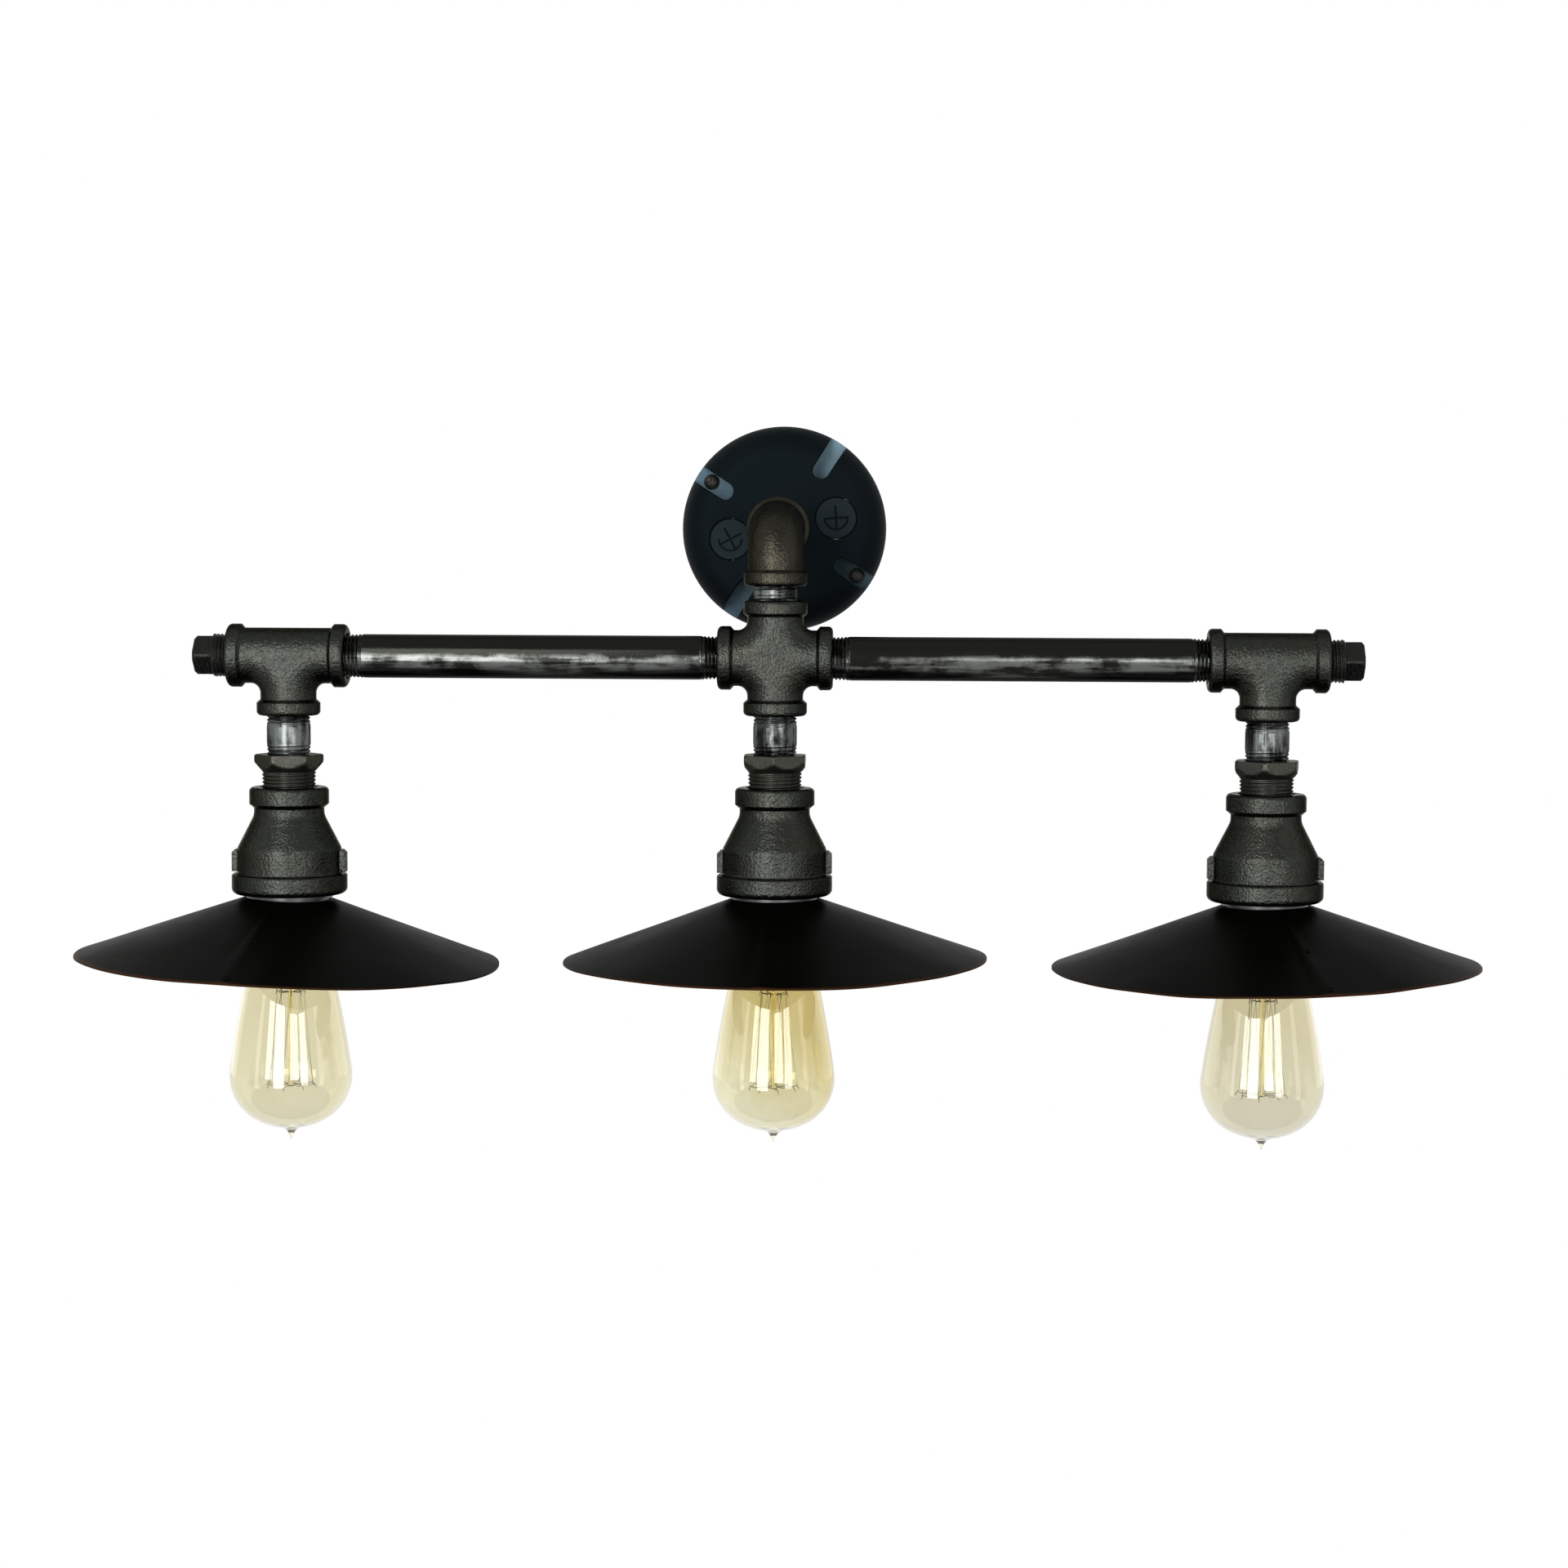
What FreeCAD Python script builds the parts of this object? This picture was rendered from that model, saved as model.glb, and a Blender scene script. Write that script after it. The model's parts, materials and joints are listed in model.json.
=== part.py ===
"""Industrial pipe wall light: a round junction-box cover, threaded pipe arms and three shaded lamps.

Frame: millimetres, +Z up, +X to the right seen from the room, the room on the -Y side.
The origin is the middle of the wall face: the back of the gasket lies on the plane Y = 0.
"""
import os

import FreeCAD
import Part
from math import asin, atan2, cos, degrees, pi, radians, sin, sqrt

# ---- Pipe, 1/2 inch size, and the 3/4 inch thread of the bushings
pipe_dia = 21.34
pipe_bore = 15.8
large_thread_dia = 26.67
thread_engagement = 9.5
arm_engagement = 11.0
close_engagement = 10.8
thread_fit = 0.05
thread_runout = 1.5

# ---- Run of the pipework
arm_length = 203.2
drop_length = 38.1
close_nipple_length = 28.6
wall_nipple_length = 76.2

# ---- Cast fittings
cross_reach = 28.0
tee_reach = 29.2
elbow_reach = 28.0
body_dia = 27.2
band_dia = 31.0
band_width = 7.0
band_slope = 1.6
band_round = 2.2
crotch_radius = 4.7
body_flat = 0.15
elbow_bend = 17.6
core_dia = 18.6

# ---- Square-head end plugs
plug_square = 14.3
plug_corner_dia = 18.8
plug_head_length = 9.6
plug_shank = 6.9

# ---- Hexagon bushings
hex_flats = 29.5
hex_height = 8.0
bushing_shank = 8.0

# ---- Bell reducers
reducer_height = 52.4
small_band_dia = 38.8
small_band_width = 9.0
neck_dia = 34.2
neck_end = 11.8
neck_round = 8.0
bell_slope = 27.0
shoulder_round = 5.0
shoulder_dia = 50.8
large_band_dia = 56.4
large_band_width = 9.8
large_band_round = 3.0
groove_round = 1.2
mouth_dia = 39.6
mouth_depth = 14.0
reducer_wall = 3.6
rib_width = 7.0
rib_height = 10.9
rib_dia = 56.0
rib_gap = 1.0

# ---- Lampholders, their screw shells and contacts
holder_fit = 0.2
holder_depth = 24.0
flange_dia = 42.4
flange_height = 1.6
skirt_dia = 38.6
skirt_height = 14.0
cavity_dia = 28.2
holder_top = 5.0
shell_wall = 0.5
shell_height = 30.0
contact_width = 6.0
contact_sheet = 0.8
contact_air = 0.05
terminal_dia = 6.4
terminal_height = 3.4
terminal_spread = 24.0

# ---- Shades and the rings that clamp them
shade_dia = 207.4
shade_top_dia = 43.0
shade_slope = 20.0
shade_sheet = 0.8
shade_hole_fit = 0.6
ring_dia = 47.0
ring_height = 6.0
ring_lean = 27.0

# ---- Bulbs
bulb_dia = 60.0
bulb_length = 133.0
bulb_hang = 90.1
bulb_bottom_flat = 3.8
bulb_tip_length = 5.6
bulb_tip_dia = 3.4
cap_dia = 26.0
cap_length = 23.5
cap_wall = 0.5
cap_fit = 0.35
button_dia = 9.6
button_height = 2.0
glass_wall = 0.9
belly_inset = 5.0
flank_round = 600.0
flank_lean = 8.0
flank_top = 13.5
neck_glass_dia = 24.6
neck_glass_rise = 8.0
stem_dia = 5.0
stem_flare_dia = 17.0
cage_dia = 25.0
cage_top = 62.0
cage_bottom = 104.0
cage_wires = 6
wire_dia = 0.7
filament_dia = 0.5

# ---- Wall cover, its gasket, plugs and screws
gasket_sheet = 2.0
gasket_inner_dia = 76.0
cover_dia = 104.8
cover_height = 22.0
cover_rim = 6.0
cover_wall = 3.2
outlet_spread = 27.5
outlet_angle = 11.5
outlet_boss_dia = 27.0
outlet_boss_depth = 11.0
screw_spacing = 88.9
screw_angle = 147.5
channel_width = 9.0
channel_start = 31.0
channel_floor = 7.0
closure_depth = 9.0
closure_slot = 1.0
closure_slot_length = 12.6
closure_arc_dia = 11.6
screw_dia = 4.16
screw_neck_dia = 3.6
screw_head_dia = 7.8
screw_head_height = 2.6
screw_length = 25.4
screw_clearance = 0.3

# ---- How each lamp was turned and tilted when it was screwed up: degrees
LAMPS = {
    "left": {"side": -1, "hex_turn": 10.0, "shade_tilt": -2.0},
    "centre": {"side": 0, "hex_turn": 30.0, "shade_tilt": 0.7},
    "right": {"side": 1, "hex_turn": 20.0, "shade_tilt": 1.2},
}

# ---- Places worked out from the sizes
cover_face = gasket_sheet + cover_height
wall_gap = wall_nipple_length - 2 * thread_engagement
pipe_plane = -(cover_face + wall_gap + elbow_reach)
close_gap = close_nipple_length - 2 * close_engagement
cross_axis = -(elbow_reach + close_gap + cross_reach)
arm_gap = arm_length - 2 * arm_engagement
lamp_spread = cross_reach + arm_gap + tee_reach
drop_gap = drop_length - 2 * thread_engagement
shell_dia = cap_dia + 2 * cap_fit + 2 * shell_wall
socket_depth = arm_engagement + thread_runout
belly_round = bulb_dia / 2 - belly_inset
bulb_belly = bulb_tip_length + bulb_dia / 2 - bulb_bottom_flat

X = FreeCAD.Vector(1, 0, 0)
Y = FreeCAD.Vector(0, 1, 0)
Z = FreeCAD.Vector(0, 0, 1)
ORIGIN = FreeCAD.Vector(0, 0, 0)
HALF_TURN_SINE = sqrt(0.5)


# ---- Drawing helpers
def turned(shape, axis, angle, about=ORIGIN):
    copy = shape.copy()
    copy.rotate(about, axis, angle)
    return copy


def moved(shape, x=0.0, y=0.0, z=0.0):
    copy = shape.copy()
    copy.translate(FreeCAD.Vector(x, y, z))
    return copy


def point(radius, height):
    return FreeCAD.Vector(radius, 0, height)


def outline(start, *steps):
    """A closed wire in the XZ plane. A step is a point, or a middle and an end point of an arc."""
    at = point(*start)
    edges = []
    for step in steps:
        if isinstance(step[0], tuple):
            middle, end = point(*step[0]), point(*step[1])
            edges.append(Part.Arc(at, middle, end).toShape())
        else:
            end = point(*step)
            edges.append(Part.LineSegment(at, end).toShape())
        at = end
    first = point(*start)
    if (at - first).Length > 1e-6:
        edges.append(Part.LineSegment(at, first).toShape())
    return Part.Wire(edges)


def spun(wire):
    """The solid that an outline sweeps about the Z axis."""
    return Part.Face(wire).revolve(ORIGIN, Z, 360)


def rod(dia, low, high):
    return Part.makeCylinder(dia / 2, high - low, FreeCAD.Vector(0, 0, low))


def tube(dia, bore, low, high):
    return rod(dia, low, high).cut(rod(bore, low - 1, high + 1))


def corner(radius, height, size, out=1, up=1):
    """The middle and end of a quarter arc that rounds the corner at (radius, height)."""
    shift = size * (1 - HALF_TURN_SINE)
    return (radius - out * shift, height - up * shift), (radius - out * size, height)


def arc_steps(centre, radius, middle, end):
    """The middle and end of an arc about a centre, by angles in degrees above the outward direction."""
    steps = []
    for angle in (middle, end):
        steps.append((centre[0] + radius * cos(radians(angle)), centre[1] + radius * sin(radians(angle))))
    return tuple(steps)


def prism_bar(start, end, dia, sides=6):
    """A thin straight wire between two points."""
    run = end - start
    ring = []
    for k in range(sides + 1):
        angle = 2 * pi * k / sides
        ring.append(FreeCAD.Vector(dia / 2 * cos(angle), dia / 2 * sin(angle), 0))
    bar = Part.Face(Part.makePolygon(ring)).extrude(Z * run.Length)
    bar.Placement = FreeCAD.Placement(start, FreeCAD.Rotation(Z, run))
    return bar


# ---- Cast fittings
def band(reach, outer=band_dia, width=band_width, inner=body_dia):
    """The raised collar round a threaded mouth, on the Z axis, with its face at reach."""
    low = reach - width
    radius, root = outer / 2, inner / 2 - band_slope / 2
    return spun(outline(
        (0, low - band_slope),
        (root, low - band_slope),
        (radius, low + band_slope / 2),
        (radius, reach - band_round),
        corner(radius, reach, band_round),
        (0, reach),
    ))


def threaded_mouth(reach, depth=socket_depth, dia=pipe_dia):
    """What a tapped mouth takes out of a fitting: the thread's bore and a lead-in at the face."""
    radius = dia / 2 + thread_fit
    lead = 0.8
    return spun(outline(
        (0, reach - depth),
        (radius, reach - depth),
        (radius, reach - lead),
        (radius + lead, reach),
        (radius + lead, reach + 1),
        (0, reach + 1),
    ))


ARM_TURNS = {"up": 0, "right": 90, "down": 180, "left": 270}


def cast_body(arms, reach):
    """A body of round arms whose inner corners are rounded in one smooth casting."""
    half = body_dia / 2
    length = reach - band_width
    prism = Part.makeBox(2 * half, 2 * half, 2 * half, FreeCAD.Vector(-half, -half, -half))
    bar = Part.makeBox(2 * half, 2 * half, length, FreeCAD.Vector(-half, -half, 0))
    for arm in arms:
        prism = prism.fuse(turned(bar, Y, ARM_TURNS[arm]))
    prism = prism.removeSplitter()
    inner_corners = []
    for edge in prism.Edges:
        middle = edge.CenterOfMass
        across = edge.BoundBox.YLength > half
        if across and abs(abs(middle.x) - half) < 0.01 and abs(abs(middle.z) - half) < 0.01:
            side = "right" if middle.x > 0 else "left"
            level = "up" if middle.z > 0 else "down"
            if side in arms and level in arms:
                inner_corners.append(edge)
    prism = prism.makeFillet(crotch_radius, inner_corners)
    long_edges = []
    for edge in prism.Edges:
        middle = edge.CenterOfMass
        flat = edge.BoundBox.YLength < 0.01
        at_end = max(abs(middle.x), abs(middle.z)) > length - 0.01
        if flat and abs(abs(middle.y) - half) < 0.01 and not at_end:
            long_edges.append(edge)
    return prism.makeFillet(half - body_flat, long_edges).Solids[0]


def cast_fitting(arms, reach):
    """A cross or a tee about the origin, its arms in the XZ plane."""
    fitting = cast_body(arms, reach)
    bands = [turned(band(reach), Y, ARM_TURNS[arm]) for arm in arms]
    fitting = fitting.multiFuse(bands)
    hollow = rod(core_dia, -body_dia / 4, reach)
    mouth = threaded_mouth(reach)
    for arm in arms:
        fitting = fitting.cut(turned(hollow, Y, ARM_TURNS[arm]))
        fitting = fitting.cut(turned(mouth, Y, ARM_TURNS[arm]))
    return fitting.Solids[0]


def bend(dia):
    """A quarter bend of a round bar from the -Z direction to the +Y direction, about the origin."""
    start = FreeCAD.Vector(0, 0, -elbow_bend)
    ring = Part.Face(Part.Wire([Part.makeCircle(dia / 2, start, Z)]))
    return ring.revolve(FreeCAD.Vector(0, elbow_bend, -elbow_bend), X, -90)


def make_elbow():
    """The quarter bend from the cover's nipple down to the cross."""
    stub = rod(body_dia, elbow_bend, elbow_reach - band_width)
    legs = [stub, band(elbow_reach)]
    fitting = bend(body_dia)
    for leg in legs:
        fitting = fitting.fuse(turned(leg, X, 180))
        fitting = fitting.fuse(turned(leg, X, -90))
    hollow = rod(core_dia, elbow_bend, elbow_reach)
    fitting = fitting.cut(bend(core_dia))
    for part in (hollow, threaded_mouth(elbow_reach, close_engagement + thread_runout)):
        fitting = fitting.cut(turned(part, X, 180))
        fitting = fitting.cut(turned(part, X, -90))
    return fitting.Solids[0]


def make_pipe(length):
    """A pipe or nipple standing on the origin, its ends chamfered for the thread."""
    chamfer = 1.0
    outer, inner = pipe_dia / 2, pipe_bore / 2
    return spun(outline(
        (inner, 0),
        (outer - chamfer, 0),
        (outer, chamfer),
        (outer, length - chamfer),
        (outer - chamfer, length),
        (inner, length),
    ))


def make_end_plug():
    """A square-head plug on the Z axis: its thread goes down into the tee, its head stands up."""
    square = Part.makeBox(plug_square, plug_square, plug_head_length,
                          FreeCAD.Vector(-plug_square / 2, -plug_square / 2, plug_shank))
    trimmer = spun(outline(
        (0, plug_shank),
        (plug_corner_dia / 2, plug_shank),
        (plug_corner_dia / 2, plug_shank + plug_head_length - 1.2),
        (plug_corner_dia / 2 - 1.2, plug_shank + plug_head_length),
        (0, plug_shank + plug_head_length),
    ))
    shank = rod(pipe_dia, -thread_engagement, plug_shank)
    cored = rod(pipe_bore * 0.75, -thread_engagement - 1, plug_shank - 2)
    return turned(square, Z, 45).common(trimmer).fuse(shank).cut(cored).removeSplitter()


# ---- Lamp pieces, each about the Z axis with the lamp's own zero at the bell reducer's mouth
bushing_seat = reducer_height
bushing_base = bushing_seat + bushing_shank
nipple_seat = bushing_base + hex_height
drop_face = nipple_seat + drop_gap
bulb_top = bulb_length - bulb_belly - bulb_hang


def make_bushing(hex_turn):
    """A hexagon-head bushing: outer thread down in the reducer, inner thread for the nipple."""
    across_corners = hex_flats / cos(radians(30))
    ring = []
    for k in range(7):
        angle = radians(60 * k)
        ring.append(FreeCAD.Vector(across_corners / 2 * sin(angle), across_corners / 2 * cos(angle), bushing_base))
    head = Part.Face(Part.makePolygon(ring)).extrude(Z * hex_height)
    bevel = (across_corners - hex_flats) / 2
    top = nipple_seat
    rounder = spun(outline(
        (0, bushing_base),
        (across_corners / 2 - bevel / 2, bushing_base),
        (across_corners / 2, bushing_base + bevel / 3),
        (across_corners / 2, top - bevel / 2),
        (across_corners / 2 - bevel, top),
        (0, top),
    ))
    shank = rod(large_thread_dia, bushing_seat - thread_engagement, bushing_base)
    body = turned(head, Z, hex_turn).common(rounder).fuse(shank)
    body = body.cut(moved(threaded_mouth(0), z=top))
    return body.cut(rod(pipe_bore, 0, top)).removeSplitter()


def bell(inset):
    """The bell's flank from shoulder to neck: a cone between two tangent arcs, inset from the outside."""
    neck, shoulder = neck_dia / 2, shoulder_dia / 2
    rounds = neck_round + shoulder_round
    across, along = cos(radians(bell_slope)), sin(radians(bell_slope))
    cone = (shoulder - neck - rounds * (1 - across)) * across / along
    high = reducer_height - neck_end
    low = high - rounds * along - cone
    hollow = neck_round + inset
    return [
        (shoulder - inset, low),
        arc_steps((shoulder - shoulder_round, low), shoulder_round - inset, bell_slope / 2, bell_slope),
        (neck + neck_round - hollow * across, high - hollow * along),
        arc_steps((neck + neck_round, high), hollow, 180 + bell_slope / 2, 180),
    ]


def make_reducer():
    """A bell reducer: small band above, flared bell, lugs and a large band round the mouth."""
    top = reducer_height
    small, large = small_band_dia / 2, large_band_dia / 2
    neck, shoulder = neck_dia / 2, shoulder_dia / 2
    low_band = large_band_width
    outside = spun(outline(
        (0, 0),
        (large - large_band_round, 0),
        arc_steps((large - large_band_round, large_band_round), large_band_round, -45, 0),
        (large, low_band - 0.8),
        (large - 0.8, low_band),
        (shoulder + groove_round, low_band),
        arc_steps((shoulder + groove_round, low_band + groove_round), groove_round, 225, 180),
        *bell(0),
        (neck, top - small_band_width - 1.2),
        (small, top - small_band_width + 0.8),
        (small, top - band_round),
        corner(small, top, band_round),
        (0, top),
    ))
    rib_low = low_band + rib_gap
    rib = Part.makeBox(rib_dia / 2, rib_width, rib_height, FreeCAD.Vector(0, -rib_width / 2, rib_low))
    rib_top = [e for e in rib.Edges if e.BoundBox.XMin > rib_dia / 2 - 0.1 and e.BoundBox.ZMin > rib_low + 1]
    rib = rib.makeChamfer(1.6, rib_top)
    for turn in (0, 180):
        outside = outside.fuse(turned(rib, Z, turn))
    mouth = mouth_dia / 2
    throat = large_thread_dia / 2 + thread_fit
    throat_low = top - thread_engagement - thread_runout
    lead = 0.8
    inside = spun(outline(
        (0, -1),
        (mouth + lead, -1),
        (mouth + lead, 0),
        (mouth, lead),
        (mouth, mouth_depth),
        (shoulder - reducer_wall, mouth_depth),
        *bell(reducer_wall),
        (neck - reducer_wall, throat_low),
        (throat, throat_low),
        (throat, top - lead),
        (throat + lead, top),
        (throat + lead, top + 1),
        (0, top + 1),
    ))
    return outside.cut(inside).removeSplitter()


def make_lampholder():
    """The holder's body: fits up in the reducer, flange at the mouth, threaded skirt below."""
    outer = mouth_dia / 2 - holder_fit
    flange = flange_dia / 2
    skirt = skirt_dia / 2
    cavity = cavity_dia / 2
    holder = spun(outline(
        (outer - 1.5, holder_depth),
        (outer, holder_depth - 1.5),
        (outer, 0),
        (flange, 0),
        (flange, -flange_height),
        (skirt, -flange_height),
        (skirt, -skirt_height),
        (cavity, -skirt_height),
        (cavity, holder_depth - holder_top),
        (0, holder_depth - holder_top),
        (0, holder_depth),
    ))
    for side in (-1, 1):
        holder = holder.cut(moved(rod(terminal_dia + 0.6, holder_depth - 1.2, holder_depth + 1),
                                  x=side * terminal_spread / 2))
    return holder


def make_screw_shell():
    """The metal shell that the bulb's cap screws into, with its rolled lower edge."""
    inner = shell_dia / 2 - shell_wall
    outer = shell_dia / 2
    top = holder_depth - holder_top
    low = top - shell_height
    return spun(outline(
        (inner, low),
        (outer, low),
        (outer, top),
        (outer - 3, top),
        (outer - 3, top - shell_wall),
        (inner, top - shell_wall),
    ))


def make_contact():
    """The bent spring strip at the top of the holder that meets the bulb's button."""
    ceiling = holder_depth - holder_top
    half = contact_width / 2
    base = Part.makeBox(7.5, contact_width, contact_sheet, FreeCAD.Vector(1.5, -half, ceiling - contact_sheet))
    drop = ceiling - contact_gap + contact_air
    slope = Part.Face(outline(
        (1.5, ceiling - contact_sheet),
        (1.5, ceiling),
        (3, ceiling),
        (3, ceiling - contact_sheet),
        (-3, drop),
        (-6, drop + 1),
        (-6, drop + 1 + contact_sheet),
        (-3, drop + contact_sheet),
    )).extrude(Y * contact_width)
    return base.fuse(moved(slope, y=-half)).removeSplitter()


contact_gap = holder_depth - holder_top - bulb_top


def make_terminals():
    """The two terminal screws on top of the holder, with their slots."""
    screws = []
    for side in (-1, 1):
        low = holder_depth - 1.2
        head = rod(terminal_dia, low, low + terminal_height)
        slot = Part.makeBox(terminal_dia + 1, 1.0, 1.2,
                            FreeCAD.Vector(-terminal_dia / 2 - 0.5, -0.5, low + terminal_height - 1.0))
        screws.append(moved(head.cut(slot), x=side * terminal_spread / 2))
    return Part.makeCompound(screws)


def shade_clamp(tilt):
    """How far below the flange the clamp ring sits, so that the tilted sheet just fits between."""
    lean = abs(sin(radians(tilt)))
    return flange_height + shade_sheet + lean * flange_dia + 0.05


def make_shade(tilt):
    """A shallow sheet cone with a flat top that the lampholder's ring clamps."""
    hole = skirt_dia / 2 + shade_hole_fit
    top, rim = shade_top_dia / 2, shade_dia / 2
    drop = (rim - top) * sin(radians(shade_slope)) / cos(radians(shade_slope))
    side = shade_sheet / cos(radians(shade_slope))
    step = shade_sheet * sin(radians(shade_slope / 2)) / cos(radians(shade_slope / 2))
    shade = spun(outline(
        (hole, 0),
        (top, 0),
        (rim, -drop),
        (rim, -drop - side),
        (top - step, -shade_sheet),
        (hole, -shade_sheet),
    ))
    lean = abs(sin(radians(tilt)))
    shade = turned(shade, Y, -tilt)
    return moved(shade, z=-flange_height - lean * flange_dia / 2 - 0.02)


def make_shade_ring(tilt):
    """The threaded ring under the shade: bevelled to clear the sheet, with finger grooves round its edge."""
    top = -shade_clamp(tilt)
    bore = skirt_dia / 2 + thread_fit
    flat, edge = flange_dia / 2, ring_dia / 2
    fall = (edge - flat) * sin(radians(ring_lean)) / cos(radians(ring_lean))
    ring = spun(outline(
        (bore, top),
        (flat, top),
        (edge, top - fall),
        (edge, top - ring_height),
        (bore, top - ring_height),
    ))
    groove = rod(5.0, top - ring_height - 1, top + 1)
    grooves = []
    for k in range(8):
        grooves.append(turned(moved(groove, x=ring_dia / 2 + 1.4), Z, 22.5 + 45 * k))
    return ring.cut(Part.makeCompound(grooves))


# ---- Bulb pieces, about the Z axis with zero at the tip of the centre contact, running down
def make_bulb_cap():
    """The screw cap: a thin shell that narrows to the insulator at the contact end."""
    outer = cap_dia / 2
    inner = outer - cap_wall
    top = -button_height
    return spun(outline(
        (button_dia / 2 + 1.6, top),
        (outer - 3.0, top),
        (outer, top - 3.2),
        (outer, -cap_length),
        (inner, -cap_length),
        (inner, top - 3.4),
        (outer - 3.2, top - cap_wall),
        (button_dia / 2 + 1.6, top - cap_wall),
    ))


def make_bulb_contact():
    """The insulator disc that closes the cap, with the soldered centre button on it."""
    outer, radius = button_dia / 2 + 1.6, button_dia / 2
    seat = -button_height - 0.02
    insulator = spun(outline(
        (0, seat),
        (radius + 0.05, seat),
        (radius + 0.05, -1.1),
        (outer - 0.05, seat + 0.4),
        (outer - 0.05, seat - 2.4),
        (0, seat - 2.4),
    ))
    button = spun(outline(
        (0, -button_height),
        (radius, -button_height),
        (radius, -button_height + 0.6),
        (radius * 0.5, 0),
        (0, 0),
    ))
    return Part.makeCompound([insulator, button])


def envelope(inset):
    """The envelope's outline as tangent arcs, drawn inset from the outside: bottom, belly, flank, neck."""
    belly_z = -(bulb_length - bulb_belly)
    depth = bulb_belly - bulb_tip_length
    belly_centre = (bulb_dia / 2 - belly_round, belly_z)
    run = belly_centre[0]
    bottom_round = (run ** 2 + depth ** 2 - belly_round ** 2) / (2 * (depth - belly_round))
    bottom_centre = (0, belly_z - depth + bottom_round)
    low = degrees(atan2(bottom_centre[1] - belly_z, -run)) - 180
    lean = flank_lean
    flank_centre = (
        belly_centre[0] - (flank_round - belly_round) * cos(radians(lean)),
        belly_z - (flank_round - belly_round) * sin(radians(lean)),
    )
    neck = neck_glass_dia / 2 - inset
    neck_z = -cap_length - 1.0
    bottom, belly, flank = bottom_round - inset, belly_round - inset, flank_round - inset
    shoulder = arc_steps(flank_centre, flank, (lean + flank_top) / 2, flank_top)
    shoulder_end = shoulder[1]
    bend_z = (shoulder_end[1] + neck_z) / 2
    bend_r = (shoulder_end[0] + neck) / 2
    return [
        (0, bottom_centre[1] - bottom),
        arc_steps(bottom_centre, bottom, (low - 90) / 2, low),
        arc_steps(belly_centre, belly, (low + lean) / 2, lean),
        shoulder,
        ((shoulder_end[0] * 0.55 + bend_r * 0.45 + 0.35, shoulder_end[1] * 0.5 + bend_z * 0.5), (bend_r, bend_z)),
        ((bend_r * 0.45 + neck * 0.55 - 0.35, bend_z * 0.5 + neck_z * 0.5), (neck, neck_z)),
        (neck, -cap_length + neck_glass_rise),
        (0, -cap_length + neck_glass_rise),
    ]


def make_glass():
    """The pear-shaped envelope with its neck in the cap and the pinched tip at the bottom."""
    outside = spun(outline(*envelope(0)))
    inside = envelope(glass_wall)
    inside = inside[:-2] + [(inside[-2][0], 0), (0, 0)]
    tip = bulb_tip_dia / 2
    end = -bulb_length
    root = end + bulb_tip_length
    pinch = spun(outline(
        (0, end),
        ((tip * 0.8, end + tip * 0.4), (tip, end + 1.6)),
        ((tip * 1.1, root - 1.2), (tip * 2.2, root + 0.35)),
        (0, root + 0.35),
    ))
    return outside.cut(spun(outline(*inside))).fuse(pinch).removeSplitter().Solids[0]


def cove(start_r, start_z, end_r, end_z):
    """The middle and end of a hollow arc that runs down into a straight stem."""
    drop, inward = start_z - end_z, start_r - end_r
    radius = (drop ** 2 + inward ** 2) / (2 * inward)
    half = asin(drop / radius) / 2
    return (end_r + radius * (1 - cos(half)), end_z + radius * sin(half)), (end_r, end_z)


def make_stem():
    """The flared glass stem that carries the filament's supports."""
    foot = stem_flare_dia / 2
    root = stem_dia / 2
    top = -cap_length + 6
    return spun(outline(
        (0, top),
        (foot, top),
        (foot, top - 1.5),
        cove(foot, top - 1.5, root, top - 20),
        (root, -cage_top + 6),
        (root * 0.55, -cage_top),
        (root * 0.55, -cage_bottom),
        (0, -cage_bottom - 1),
    ))


def cage_point(k, level, spread=1.0):
    angle = 2 * pi * (k + 0.25) / cage_wires
    radius = cage_dia / 2 * spread
    return FreeCAD.Vector(radius * cos(angle), radius * sin(angle), level)


def make_supports():
    """Two stars of fine wires held by the stem, one above and one below."""
    wires = []
    for k in range(cage_wires):
        for level, shift in ((-cage_top + 2, 0.0), (-cage_bottom + 2, 0.5)):
            hub = FreeCAD.Vector(0, 0, level)
            wires.append(prism_bar(hub, cage_point(k + shift, level), wire_dia))
    stars = []
    stem = rod(stem_dia * 0.55 + 0.02, -cage_bottom - 2, -cage_top + 0.001)
    stem = stem.fuse(rod(stem_dia + 0.02, -cage_top, -cage_top + 6))
    for wire in wires:
        stars.append(wire.cut(stem))
    return Part.makeCompound(stars)


def make_filament():
    """The thread-like filament that zigzags between the two stars."""
    gap = wire_dia / 2 + filament_dia / 2 + 0.02
    strands = []
    upper, lower = -cage_top + 2 - gap, -cage_bottom + 2 + gap
    for k in range(cage_wires):
        top = cage_point(k, upper, 0.95)
        if k:
            strands.append(prism_bar(cage_point(k - 0.5, lower, 0.95), top, filament_dia, 4))
        if k < cage_wires - 1:
            strands.append(prism_bar(top, cage_point(k + 0.5, lower, 0.95), filament_dia, 4))
    return strands[0].multiFuse(strands[1:])


def make_bulb():
    """Every piece of one bulb, by name."""
    return {
        "bulb_cap": make_bulb_cap(),
        "bulb_contact": make_bulb_contact(),
        "bulb_glass": make_glass(),
        "bulb_stem": make_stem(),
        "bulb_supports": make_supports(),
        "bulb_filament": make_filament(),
    }


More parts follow.
